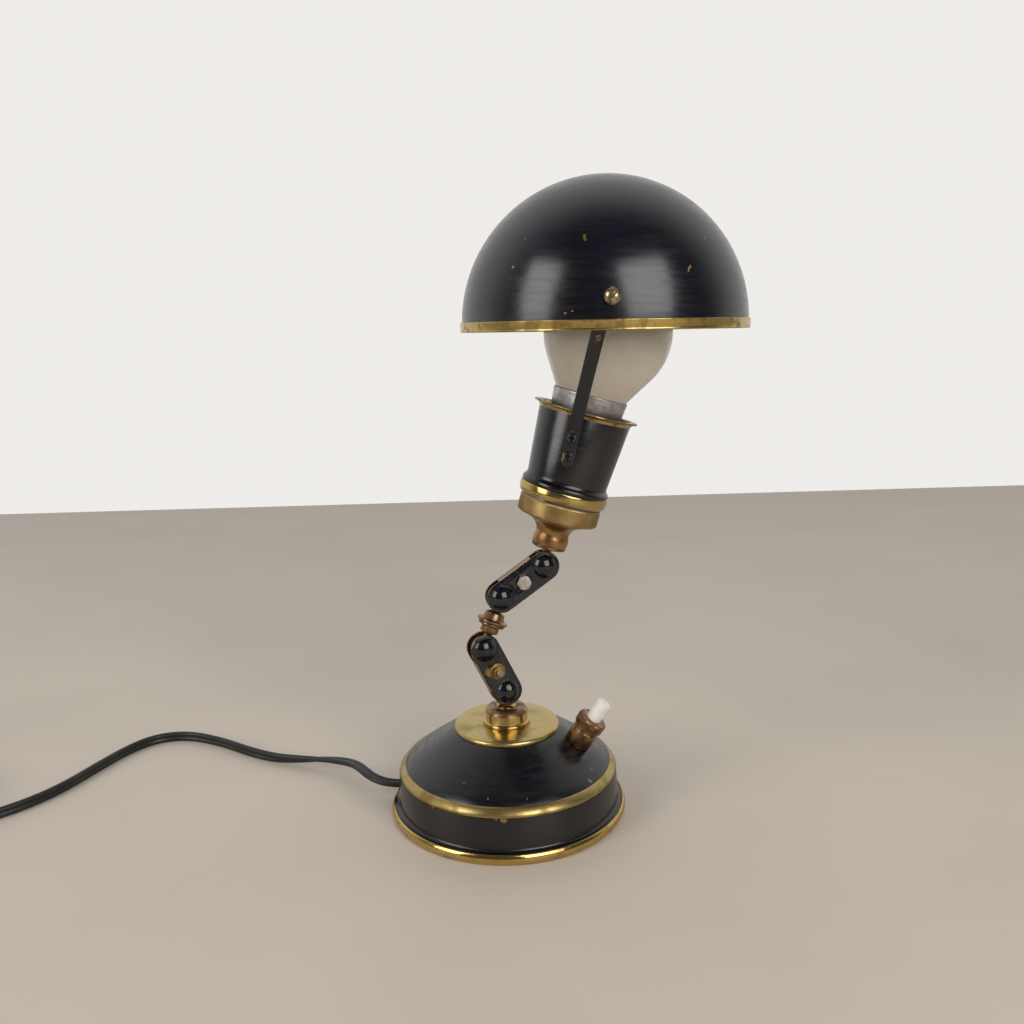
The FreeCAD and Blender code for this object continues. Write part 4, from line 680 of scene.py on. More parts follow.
@dataclass(frozen=True)
class Plastic:
    """Moulded plastic, rubber or glazed ceramic."""

    name: str
    colour: tuple[float, float, float]
    second: tuple[float, float, float]
    roughness: tuple[float, float] = (0.35, 0.5)
    patch: float = 6.0
    relief: float = 0.02
    stretch: tuple[float, float, float] = (1, 1, 1)
    worn: tuple[Mark, ...] = ()
    grime: tuple[float, float, float] = (0.25, 0.2, 0.14)

    def dress(self, fixed_to: Coordinates = Coordinates.OBJECT) -> bpy.types.Material:
        """Builds the material.

        Args:
            fixed_to: What the pattern is fixed to.

        Returns:
            The material.
        """
        bench = NodeBench(f"{self.name}_{fixed_to.value}", fixed_to)
        cloud = bench.ramp(bench.noise(self.patch, 5.0, self.stretch), 0.35, 0.7)
        colour = bench.blend(cloud, self.colour, self.second)
        if self.worn:
            dirt = bench.any_of([bench.spot(mark) for mark in self.worn])
            colour = bench.blend(bench.math("MULTIPLY", dirt, 0.6), colour, self.grime)
        bench.link(colour, bench.shader.inputs["Base Color"])
        fine = bench.noise(self.patch / 8, 4.0, self.stretch)
        bench.link(bench.ramp(fine, 0.3, 0.7, *self.roughness), bench.shader.inputs["Roughness"])
        bench.bump(fine, self.relief, 0.4)
        return bench.material


@dataclass(frozen=True)
class Opal:
    """Opal glass, milky through and glossy outside."""

    name: str = "opal"
    milk: tuple[float, float, float] = (0.72, 0.655, 0.54)
    warm: tuple[float, float, float] = (0.62, 0.53, 0.41)

    def dress(self, fixed_to: Coordinates = Coordinates.OWN_FRAME) -> bpy.types.Material:
        """Builds the material.

        Args:
            fixed_to: What the pattern is fixed to.

        Returns:
            The material.
        """
        bench = NodeBench(f"{self.name}_{fixed_to.value}", fixed_to)
        _, _, height = bench.split()
        cloud = bench.ramp(bench.noise(22.0, 4.0), 0.3, 0.7)
        low_down = bench.ramp(height, 84 * MM, 104 * MM, 0.8, 0.0)
        share = bench.math("MAXIMUM", bench.math("MULTIPLY", cloud, 0.5), low_down)
        bench.link(bench.blend(share, self.milk, self.warm), bench.shader.inputs["Base Color"])
        smear = bench.noise(5.0, 5.0, (3, 3, 1))
        bench.link(bench.ramp(smear, 0.3, 0.7, 0.12, 0.26), bench.shader.inputs["Roughness"])
        bench.shader.inputs["Subsurface Weight"].default_value = 0.35
        bench.shader.inputs["Subsurface Radius"].default_value = (6 * MM, 4.5 * MM, 3 * MM)
        bench.shader.inputs["Subsurface Scale"].default_value = 1.0
        bench.bump(bench.noise(7.0, 2.0), 0.03, 0.3)
        return bench.material


@dataclass(frozen=True)
class Felt:
    """Pressed wool felt."""

    name: str = "felt"
    colour: tuple[float, float, float] = (0.018, 0.05, 0.026)
    lint: tuple[float, float, float] = (0.05, 0.10, 0.06)

    def dress(self, fixed_to: Coordinates = Coordinates.OBJECT) -> bpy.types.Material:
        """Builds the material.

        Args:
            fixed_to: What the pattern is fixed to.

        Returns:
            The material.
        """
        bench = NodeBench(f"{self.name}_{fixed_to.value}", fixed_to)
        fibres = bench.noise(0.5, 8.0)
        bench.link(bench.blend(bench.ramp(fibres, 0.4, 0.65), self.colour, self.lint),
                   bench.shader.inputs["Base Color"])
        bench.shader.inputs["Roughness"].default_value = 0.95
        bench.shader.inputs["Sheen Weight"].default_value = 0.4
        bench.bump(fibres, 0.15, 0.8)
        return bench.material


Finish = Metal | Lacquer | Plastic | Opal | Felt

POLISHED = Metal("polished_brass", (0.58, 0.415, 0.15), (0.30, 0.20, 0.065), (0.13, 0.34),
                 tarnish=(0.5, 0.72))
SATIN = Metal("satin_brass", (0.43, 0.325, 0.13), (0.24, 0.17, 0.06), (0.30, 0.46), tarnish=(0.42, 0.7))
DISC_BRASS = Metal("disc_brass", (0.50, 0.385, 0.155), (0.33, 0.24, 0.085), (0.26, 0.40), patch=14.0,
                   tarnish=(0.48, 0.75))
AGED = Metal("aged_brass", (0.36, 0.235, 0.085), (0.20, 0.12, 0.045), (0.34, 0.52), patch=6.0)
PATINA = Metal("copper_brown", (0.31, 0.19, 0.10), (0.13, 0.075, 0.045), (0.26, 0.46), patch=4.0,
               tarnish=(0.36, 0.66))
GOLDEN = Metal("golden_neck", (0.52, 0.33, 0.085), (0.20, 0.10, 0.045), (0.22, 0.42), patch=3.5,
               tarnish=(0.44, 0.7))
NICKEL = Metal("nickel", (0.50, 0.47, 0.42), (0.30, 0.27, 0.23), (0.28, 0.44), patch=3.0, grain=Grain.CAST)
STEEL = Metal("steel", (0.46, 0.44, 0.41), (0.22, 0.18, 0.14), (0.28, 0.5), patch=2.4, grain=Grain.CAST)
DARK_STEEL = Metal("dark_steel", (0.16, 0.15, 0.14), (0.07, 0.06, 0.055), (0.4, 0.6), patch=8.0,
                   grain=Grain.CAST)
IRON = Metal("cast_iron", (0.10, 0.095, 0.09), (0.05, 0.04, 0.035), (0.55, 0.75), patch=7.0,
             grain=Grain.CAST, relief=0.12)
ALUMINIUM = Metal("aluminium", (0.46, 0.455, 0.46), (0.30, 0.295, 0.30), (0.36, 0.52), patch=3.6, relief=0.02)
BUTTON_WHITE = Plastic("button_white", (0.90, 0.88, 0.83), (0.80, 0.77, 0.69), (0.3, 0.55), 2.2, 0.05,
                       (1, 1, 3))
CERAMIC = Plastic("ceramic", (0.70, 0.68, 0.63), (0.62, 0.59, 0.52), (0.2, 0.4), 8.0)
BROWN_PLASTIC = Plastic("brown_plastic", (0.065, 0.028, 0.014), (0.035, 0.014, 0.008), (0.25, 0.42), 6.0)
CORD_BLACK = Plastic("cord_black", (0.0075, 0.0078, 0.0085), (0.016, 0.016, 0.0165), (0.38, 0.56), 9.0, 0.03)
PLUG_BLACK = Plastic("plug_black", (0.009, 0.009, 0.0095), (0.018, 0.018, 0.018), (0.34, 0.5), 7.0, 0.04)
FELT = Felt()

SHADE_MARKS = (
    Mark((-10.2, -54.6, 32.0), (1.0, 3.0, 11.5), (30, 0, 13), 0.9),
    Mark((30.7, -52.7, 20.1), (4.4, 1.6, 0.75), (0, -48, 30), 0.8),
    Mark((-38.9, -45.9, 22.5), (1.3, 1.3, 1.1)),
    Mark((38.8, -39.3, 32.8), (0.8, 0.8, 0.8)),
    Mark((-18.3, -61.5, 3.7), (0.9, 0.9, 0.7)),
    Mark((-15.6, -62.2, 4.4), (0.8, 0.8, 0.7)),
    Mark((0.3, -62.9, 12.6), (1.6, 1.2, 1.6)),
    Mark((-33.9, -43.0, 33.6), (0.6, 0.6, 0.6)),
)
CONE_MARKS = (
    # The first two marks, brass at the foot of the switch, are partly chips round its hole and partly the
    # switch's painted reflection in the glossy cone.
    Mark((33.3, -10.9, 34.1), (3.2, 1.6, 1.4), (0, 0, 30)),
    Mark((42.3, -2.3, 29.2), (1.8, 1.4, 1.2)),
    Mark((-20.0, -36.7, 29.6), (1.2, 1.2, 1.0)),
    Mark((-9.2, -45.9, 26.3), (0.9, 0.9, 1.9)),
    Mark((8.0, -46.6, 26.0), (0.6, 0.6, 1.2)),
    Mark((37.5, -30.4, 25.3), (2.4, 1.8, 1.9)),
    Mark((38.8, -22.9, 27.5), (1.6, 1.3, 1.0)),
)
SKIRT_MARKS = (
    Mark((-33.8, -39.4, 20.2), (2.2, 2.2, 1.2)),
    Mark((-22.3, -46.4, 19.8), (2.6, 2.0, 2.0)),
    Mark((-5.9, -50.9, 20.1), (1.8, 4.0, 1.1)),
    Mark((-2.4, -52.8, 19.6), (2.6, 2.2, 2.0)),
    Mark((44.0, -31.0, 20.2), (1.6, 1.6, 0.8)),
)
LOWER_LINK_MARKS = (
    Mark((-3.7, -3.9, 14.6), (3.4, 1.2, 3.8), (0, 0, 0), 0.7),
    Mark((1.2, -6.6, 2.2), (1.3, 1.4, 1.1)),
    Mark((1.6, -4.4, 6.0), (2.6, 1.0, 0.9), (0, 20, 0)),
)
STRIP_MARKS = (
    Mark((-6.2, -57.5, 107.0), (2.4, 9.0, 4.6), (0, 10, 0), 0.6),
    Mark((-7.6, -53.0, 101.6), (0.9, 6.0, 1.2)),
    Mark((-5.6, -21.0, 54.6), (1.0, 3.0, 3.4), (0, -14, 0), 0.6),
    # This mark, a brass line where the front strip bends away from the cup, is a painted highlight on the
    # bend.
    Mark((-4.6, -21.0, 66.5), (0.7, 3.0, 1.2)),
)
DOME_LACQUER = Lacquer("shade_lacquer", marks=SHADE_MARKS)
CONE_LACQUER = Lacquer("cone_lacquer", deep=(0.0028, 0.0030, 0.0042), blue=(0.0045, 0.0052, 0.0090),
                       roughness=(0.20, 0.36), marks=CONE_MARKS)
SKIRT_LACQUER = Lacquer("skirt_lacquer", deep=(0.0030, 0.0026, 0.0026), blue=(0.0050, 0.0042, 0.0045),
                        marks=SKIRT_MARKS)
HOLDER_LACQUER = Lacquer("holder_lacquer", deep=(0.0022, 0.0023, 0.0034), blue=(0.0040, 0.0042, 0.0062))
STRIP_LACQUER = Lacquer("strip_lacquer", marks=STRIP_MARKS)
LINK_LACQUER = Lacquer("link_lacquer", roughness=(0.10, 0.2), worn_link=True)
CHIPPED_LINK_LACQUER = Lacquer("chipped_link_lacquer", roughness=(0.10, 0.2), marks=LOWER_LINK_MARKS,
                               worn_link=True)


# ------------------------------------------------------------------ handing pieces over to the frame
BODY_OF = {node: body for body, nodes in frame["record"]["behaviour"]["bodies"].items() for node in nodes}


class Wardrobe:
    """Keeps each finish as one material, so that pieces of one finish share it."""

    def __init__(self) -> None:
        """Starts empty."""
        self.made: dict[tuple[str, Coordinates], bpy.types.Material] = {}

    def material(self, finish: Finish, fixed_to: Coordinates) -> bpy.types.Material:
        """The material of a finish, built at its first use."""
        key = (finish.name, fixed_to)
        if key not in self.made:
            self.made[key] = finish.dress(fixed_to)
        return self.made[key]


WARDROBE = Wardrobe()


def stand_in(piece: bpy.types.Object, nodes: str | Sequence[str], finish: Finish,
             place: Matrix) -> bpy.types.Object:
    """Finishes a new piece, lets it stand for CAD nodes and moves it with their body.

    Args:
        piece: The piece, at its place.
        nodes: The node or nodes of one body that it stands for.
        finish: Its finish.
        place: The frame that it was drawn in.

    Returns:
        The same piece.
    """
    names = [nodes] if isinstance(nodes, str) else list(nodes)
    note_local(piece, place)
    piece.data.materials.clear()
    piece.data.materials.append(WARDROBE.material(finish, Coordinates.OWN_FRAME))
    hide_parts(*names)
    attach(piece, BODY_OF[names[0]])
    LOG.info("%s stands for %s", piece.name, ", ".join(names))
    return piece


# ------------------------------------------------------------------ foot
@dataclass(frozen=True)
class Foot:
    """Weighted round foot: rolled ring, skirt, shoulder ring, crowned cone, disc and boss."""

    radius: float = 57.5
    roll_height: float = 5.0
    skirt_flange: float = 55.8
    skirt_low: float = 53.6
    skirt_top: float = 53.0
    shoulder_radius: float = 52.8
    shoulder_height: float = 21.2
    cone_low: Point = (49.9, 24.3)
    cone_top: Point = (25.4, 40.5)
    crown: float = 0.5
    disc_face: float = 24.0
    disc_height: float = 42.8
    boss_radius: float = 10.2
    boss_flange: float = 11.3
    boss_split: float = 48.6
    boss_top: float = 51.0
    sheet: float = 1.0
    tie: float = 5.05

    def cone_middle(self) -> Point:
        """Middle of the crowned outline of the cone."""
        along = Vector(self.cone_low) - Vector(self.cone_top)
        outward = Vector((-along.y, along.x)).normalized()
        middle = (Vector(self.cone_low) + Vector(self.cone_top)) / 2 + outward * self.crown
        return middle.x, middle.y

    def build(self) -> None:
        """Builds the foot's visible pieces."""
        place = PLACES["foot"]
        ledge = self.roll_height - self.sheet
        rolled = turned("rolled_foot_ring", [
            (53.1, 1.6), (53.5, 0), (54.0, 0), (56.4, 0), Arc((57.42, 2.2), (56.4, self.roll_height)),
            (55.85, self.roll_height - 0.1), (55.85, ledge), (53.1, ledge)], edge=0.2, steps=160)
        stand_in(rolled, "foot_ring", POLISHED, place)

        skirt = turned("lacquered_skirt", [
            (self.skirt_flange, self.roll_height), (self.skirt_low + 1.4, self.roll_height),
            Arc((self.skirt_low + 0.41, self.roll_height + 0.41), (self.skirt_low, self.roll_height + 1.4)),
            (self.skirt_top, 20.3), (self.skirt_top - 1, 20.3), (self.skirt_low - 1, self.roll_height),
            (self.skirt_low - 1, ledge), (self.skirt_flange, ledge)], steps=160)
        stand_in(skirt, "base_skirt", SKIRT_LACQUER, place)

        low, high = self.cone_low, self.cone_top
        shoulder = turned("bevelled_shoulder_ring", [
            (self.shoulder_radius, self.shoulder_height), (self.shoulder_radius, 20.3), (47.4, 20.3),
            (47.4, 21.3), (48.9, 21.3), low,
            Arc((51.55, 22.95), (52.55, 21.75))], edge=0.16, steps=160)
        stand_in(shoulder, "shoulder_ring", SATIN, place)

        middle = self.cone_middle()
        cone = turned("crowned_cone", [
            (self.tie, high[1]), high, Arc(middle, low), (low[0] - 0.7, low[1] - 0.9),
            Arc((middle[0] - 0.55, middle[1] - 0.83), (high[0] - 0.5, high[1] - 1)), (self.tie, high[1] - 1)],
            edge=0.1, steps=160, arc_step=1.0)
        stand_in(cone, "base_cone", CONE_LACQUER, place)

        disc = turned("bright_disc", [
            (self.tie, high[1]), (25.3, high[1]), (25.38, high[1] + 0.5),
            Arc((25.05, self.disc_height - 0.5), (self.disc_face, self.disc_height)),
            (self.tie, self.disc_height)], edge=0.12, steps=128)
        stand_in(disc, "top_disc", DISC_BRASS, place)
        self.build_boss(place)

    def build_boss(self, place: Matrix) -> None:
        """Builds the boss, its cap and the hollow ball stud that turns in them."""
        flange_top = self.disc_height + 1.5
        boss = turned("bright_boss", [
            (self.tie, self.disc_height), (self.boss_flange, self.disc_height),
            (self.boss_flange, flange_top - 0.35),
            (self.boss_flange - 0.35, flange_top), (self.boss_radius, flange_top),
            (self.boss_radius, self.boss_split), (8.4, self.boss_split), (8.4, 47.0), (7.15, 47.0),
            (7.15, 45.0), (self.tie, 45.0)], edge=0.14)
        stand_in(boss, "boss_base", POLISHED, place)
        cap = turned("boss_gland", [
            (4.95, 47.0), (8.35, 47.0), (8.35, self.boss_split), (self.boss_radius, self.boss_split),
            (self.boss_radius, self.boss_split + 0.35), (8.5, self.boss_top - 0.1), (8.3, self.boss_top),
            (4.95, self.boss_top)], edge=0.12)
        stand_in(cap, "boss_cap", PATINA, place)
        top = Stance().lower_ball_height
        ball = [(0, 45.05), (7.1, 45.05), (7.1, 46.95), (4.9, 46.95), (4.9, 51.15), (2.1, 51.95),
                (2.1, top - math.sqrt(STUD_SIZES.ball**2 - 2.1**2)),
                Arc((STUD_SIZES.ball, top), (0, top + STUD_SIZES.ball))]
        stand_in(turned("golden_ball_stud", ball, edge=0.1), "lower_ball_stud", GOLDEN, place)


# ------------------------------------------------------------------ switch
@dataclass(frozen=True)
class Switch:
    """Push switch that leans out of the cone: bush, milled ring and white button."""

    azimuth: float = -15.0
    down_cone: float = 0.37
    bush: float = 6.3
    bush_height: float = 10.0
    ring: float = 7.1
    ring_height: float = 5.0
    button: float = 3.5
    button_out: float = 10.4
    teeth: int = 54

    def place(self, foot: Foot) -> Matrix:
        """Frame with its origin on the cone's surface and +Z straight out of it.

        Args:
            foot: The foot that carries it.

        Returns:
            The frame, in metres.
        """
        centre, radius = circle_through(foot.cone_top, foot.cone_middle(), foot.cone_low)
        first, last = (math.atan2(p[1] - centre[1], p[0] - centre[0]) for p in (foot.cone_top, foot.cone_low))
        angle = first + (last - first) * self.down_cone
        spot = (centre[0] + radius * math.cos(angle), centre[1] + radius * math.sin(angle))
        tilt = 90 - math.degrees(angle)
        return turn(self.azimuth, "Z") @ shift(spot[0], 0, spot[1]) @ turn(tilt, "Y")

    def build(self, foot: Foot) -> None:
        """Builds the switch's visible pieces."""
        place = self.place(foot)
        bore = self.button + 0.05
        body = turned("switch_collar", [
            (bore, -6), (4.7, -6), (4.7, 0), (self.bush, 0), (self.bush, 8.2), (self.bush - 0.25, 8.5),
            (self.bush - 0.25, 8.9), (self.bush, 9.2), (self.bush, 9.5), (5.9, self.bush_height),
            (5.5, self.bush_height), (5.5, 14.4), (bore, 14.4)], edge=0.08)
        stand_in(set_in(body, place), "switch_bush", PATINA, place)

        base, top = self.bush_height, self.bush_height + self.ring_height
        outline = [(5.55, base), (self.ring - 0.4, base)]
        for k in range(3):
            foot_of_rib = base + 0.25 + 0.75 * k
            outline += [(self.ring, foot_of_rib + 0.12), (self.ring, foot_of_rib + 0.42),
                        (self.ring - 0.38, foot_of_rib + 0.62)]
        outline += [(self.ring, base + 2.7), (self.ring, top - 0.75), (self.ring - 0.6, top), (bore, top),
                    (bore, 14.45), (5.55, 14.45)]
        ring = turned("milled_ring", outline, edge=0, steps=2 * self.teeth)
        half_step = FULL_TURN / (4 * self.teeth)

        def on_tooth(point: Vector) -> bool:
            """Whether a point is on the ridge of a tooth."""
            outside = math.hypot(point.x, point.y) > self.ring - 0.05 and point.z > base + 2.6
            step = round(math.atan2(point.y, point.x) / (2 * half_step))
            return outside and step % 2 == 0

        swell(ring, on_tooth, (self.ring - 0.32) / self.ring)
        smooth(ring, 25.0)
        stand_in(set_in(ring, place), "switch_ring", PATINA, place)

        top = base + self.ring_height + self.button_out
        shoulder = -2.9
        button = turned("push_button", [
            (0, -10), (2, -10), (2, shoulder), (self.button, shoulder), (self.button, top - 1.4),
            Arc((3.1, top - 0.62), (2.3, top - 0.25)), Arc((1.2, top - 0.06), (0, top))], edge=0.06, steps=48)
        stand_in(set_in(button, place), "switch_button", BUTTON_WHITE, place)


# ------------------------------------------------------------------ links and studs
@dataclass(frozen=True)
class LinkSizes:
    """Sizes of a pressed link that its worn edges follow."""

    length: float = 25.1
    half_width: float = 7.2


@dataclass(frozen=True)
class StudSizes:
    """Sizes of the ball studs."""

    ball: float = 6.0
    neck: float = 2.1


LINK_SIZES = LinkSizes()
STUD_SIZES = StudSizes()


@dataclass(frozen=True)
class Link:
    """Pair of pressed half shells clamped on two balls by a bolt."""

    name: str
    lacquer: Lacquer
    bolt: Metal
    nut: Metal
    washers: bool

    def build(self) -> None:
        """Builds the link's visible pieces."""
        place = PLACES[self.name]
        for side in ("front", "back"):
            shell = reworked(f"{self.name}_{side}_pressing", f"{self.name}_{side}", 0.3, 30.0)
            stand_in(shell, f"{self.name}_{side}", self.lacquer, place)
        bolt = reworked(f"{self.name}_hex_bolt", f"{self.name}_bolt", 0.14)
        stand_in(bolt, f"{self.name}_bolt", self.bolt, place)
        nut = reworked(f"{self.name}_hex_nut", f"{self.name}_nut", 0.14)
        stand_in(nut, f"{self.name}_nut", self.nut, place)
        if self.washers:
            washers = reworked(f"{self.name}_round_washers", f"{self.name}_washers", 0.12)
            stand_in(washers, f"{self.name}_washers", AGED, place)


@dataclass(frozen=True)
class Studs:
    """Middle pair of flanged ball studs, which turn in each other, and the top stud in the holder's neck."""

    parting: float = 12.65
    pivot: float = 2.9
    top_flange: float = 8.2

    def build(self) -> None:
        """Builds the studs."""
        ball = ball_outline(STUD_SIZES.ball, STUD_SIZES.neck)
        lower = ball + [
            (2.1, 7.3), (4.3, 8.1), (4.3, 10.9), (4.6, 11.3), (6.1, 11.5), (6.5, 11.85), (6.5, self.parting),
            (self.pivot, self.parting), (self.pivot, 16.85), (0, 16.85)]
        place = PLACES["middle_lower"]
        stand_in(set_in(turned("lower_turning_stud", lower, edge=0.1), place), "middle_stud_lower", PATINA,
                 place)

        upper = ball + [
            (2.1, 7.3), (4.6, 8.1), (5.3, 11.0), (5.6, 11.35), (6.9, 11.45), Arc((7.38, 12.25), (6.9, 13.05)),
            (self.pivot + 0.05, 13.1), (self.pivot + 0.05, 8.8), (0, 8.8)]
        place = PLACES["middle_upper"] @ shift(0, 0, Stance().stud_length) @ turn(180, "X")
        stand_in(set_in(turned("upper_turning_stud", upper, edge=0.1), place), "middle_stud_upper", PATINA,
                 place)

        top = ball + [
            (2.1, 7.9), (5.0, 8.7), (5.0, 8.95), (self.top_flange - 0.4, 9.2), (self.top_flange, 9.55),
            (self.top_flange, 10.5), (4.0, 10.5), (4.0, 15.9), (6.0, 15.9), (6.0, 17.3), (0, 17.3)]
        place = PLACES["top_stud"]
        stand_in(set_in(turned("flanged_top_stud", top, edge=0.1), place), "top_ball_stud", PATINA, place)


# ------------------------------------------------------------------ lampholder and bulb
@dataclass(frozen=True)
class Lampholder:
    """Neck, knurled ring, dark core, bright ring and flared lacquered cup."""

    knurl: float = 19.3
    knurl_bottom: float = 24.1
    knurl_top: float = 32.2
    knurl_columns: int = 132
    knurl_rows: int = 13
    knurl_depth: float = 0.2
    bright: float = 21.0
    shell_low: float = 19.1
    shell_top: float = 21.6
    lip: float = 24.5

    def build(self) -> None:
        """Builds the holder's visible pieces."""
        place = PLACES["holder"]
        neck = turned("turned_neck", [
            (4.05, 10.6), (8.2, 10.6), Arc((8.6, 13.2), (8.0, 15.9)), (8.0, 16.9),
            Arc((9.9, 20.4), (13.2, 22.3)), (13.6, 22.8), (13.6, 24.3), (17.4, 24.6), (17.4, 25.0),
            (11.8, 25.0), (6.2, 18.1), (6.2, 15.8), (4.05, 15.8)], edge=0.15, steps=112)
        stand_in(set_in(neck, place), "holder_neck", NECK_BRASS, place)
        stand_in(set_in(self.knurled(), place), "knurled_ring", KNURL_BRASS, place)

        bright = turned("bright_band", [
            (18.25, 33.4), (20.2, 33.4), Arc((20.95, 35.2), (20.98, 36.6)), Arc((20.95, 37.6), (20.75, 38.4)),
            (18.25, 38.4)], edge=0.14, steps=128)
        stand_in(set_in(bright, place), "bright_ring", BAND_BRASS, place)

        cup = turned("lacquered_cup", [
            (18.25, 38.5), (20.4, 38.5), Arc((20.7, 39.4), (20.1, 40.9)),
            Arc((19.35, 41.9), (self.shell_low, 43.4)),
            (self.shell_top, 73.3), (20.8, 73.3), (18.6, 46.5), (18.25, 46.0)], edge=0.1, steps=128)
        stand_in(set_in(cup, place), "holder_shell", HOLDER_LACQUER, place)

        lip = turned("rolled_lip", [
            (20.8, 73.3), (self.shell_top, 73.3), Arc((22.5, 74.8), (24.1, 75.2)),
            Arc((self.lip - 0.02, 75.6), (24.1, 76.0)),
            Arc((21.7, 75.5), (20.8, 73.3))], edge=0, steps=128)
        smooth(lip, 60)
        stand_in(set_in(lip, place), "holder_lip", LIP_BRASS, place)

    def knurled(self) -> bpy.types.Object:
        """Ring with a diamond knurl cut into its outside.

        Returns:
            The ring, about the origin.
        """
        low, high = self.knurl_bottom + 0.9, self.knurl_top - 0.6
        rows = [(self.knurl, low + (high - low) * k / self.knurl_rows) for k in range(self.knurl_rows + 1)]
        ring = turned("diamond_knurled_ring", [
            (13.7, 23.0), (18.4, self.knurl_bottom), (18.9, self.knurl_bottom + 0.35), *rows,
            (18.95, self.knurl_top), (18.25, self.knurl_top), (18.25, 24.6), (17.5, 24.3), (13.7, 24.2)],
            edge=0, steps=2 * self.knurl_columns)
        spacing = (high - low) / self.knurl_rows

        def in_furrow(point: Vector) -> bool:
            """Whether a point is at the bottom of a furrow, every second one in each row and column."""
            if math.hypot(point.x, point.y) < self.knurl - 0.02:
                return False
            column = round(math.atan2(point.y, point.x) / FULL_TURN * 2 * self.knurl_columns)
            row = round((point.z - low) / spacing)
            return (column + row) % 2 == 0

        swell(ring, in_furrow, (self.knurl - self.knurl_depth) / self.knurl)
        smooth(ring, 20.0)
        return ring


NECK_BRASS = Metal("neck_brass", (0.36, 0.22, 0.085), (0.20, 0.105, 0.045), (0.28, 0.42), patch=7.0)
KNURL_BRASS = Metal("knurl_brass", (0.40, 0.28, 0.115), (0.27, 0.17, 0.07), (0.36, 0.48), patch=9.0,
                    tarnish=(0.4, 0.7))
LIP_BRASS = Metal("lip_brass", (0.45, 0.34, 0.13), (0.21, 0.155, 0.065), (0.2, 0.42), patch=5.0,
                  tarnish=(0.42, 0.6))
BAND_BRASS = Metal("band_brass", (0.47, 0.35, 0.13), (0.26, 0.185, 0.06), (0.16, 0.34), patch=8.0,
                   tarnish=(0.5, 0.75),
                   worn=(Mark((13.5, -16.0, 35.8), (9.0, 9.0, 7.0), ragged=1.5),))


@dataclass(frozen=True)
class Bulb:
    """Opal bulb with an aluminium collar."""

    radius: float = 29.3
    centre: float = 112.4
    mouth: float = 17.0
    joint: float = 83.7
    wall: float = 1.0

    def build(self) -> None:
        """Builds the glass and the collar."""
        place = PLACES["holder"]
        outer = self.round_from(self.mouth, self.radius)
        inner = self.round_from(self.mouth - self.wall, self.radius - self.wall)
        glass = turned("opal_glass_globe", [
            (0, self.centre + self.radius), Arc(outer[1], outer[0]), (self.mouth, self.joint + 0.5),
            (self.mouth, self.joint), (self.mouth - self.wall, self.joint),
            (self.mouth - self.wall, self.joint + 0.5),
            inner[0], Arc(inner[1], (0, self.centre + self.radius - self.wall))], edge=0.1, steps=96,
            arc_step=5.0)
        stand_in(set_in(glass, place), "bulb_globe", Opal(), place)
        collar = turned("aluminium_collar", [
            (10, 70), (16.2, 70), (17.25, 81.4), (17.35, 82.4), (17.5, 82.9), (17.5, 83.4), (17.3, 83.6),
            (16.2, 83.6),
            (16.2, 83.2), (10, 83.2)], edge=0.08, steps=96)
        stand_in(set_in(collar, place), "bulb_collar", ALUMINIUM, place)

    def round_from(self, mouth: float, radius: float) -> tuple[Point, Point]:
        """Where the cone from the mouth touches the round, and a point on the round's side.

        Args:
            mouth: Radius at the mouth.
            radius: Radius of the round.

        Returns:
            The touching point and the side point.
        """
        drop = self.centre - self.joint - 0.5
        touch = math.atan2(drop, mouth) - math.acos(radius / math.hypot(mouth, drop))
        side = (math.pi / 2 - touch) / 2
        return ((radius * math.cos(touch), self.centre - radius * math.sin(touch)),
                (radius * math.cos(side), self.centre + radius * math.sin(side)))


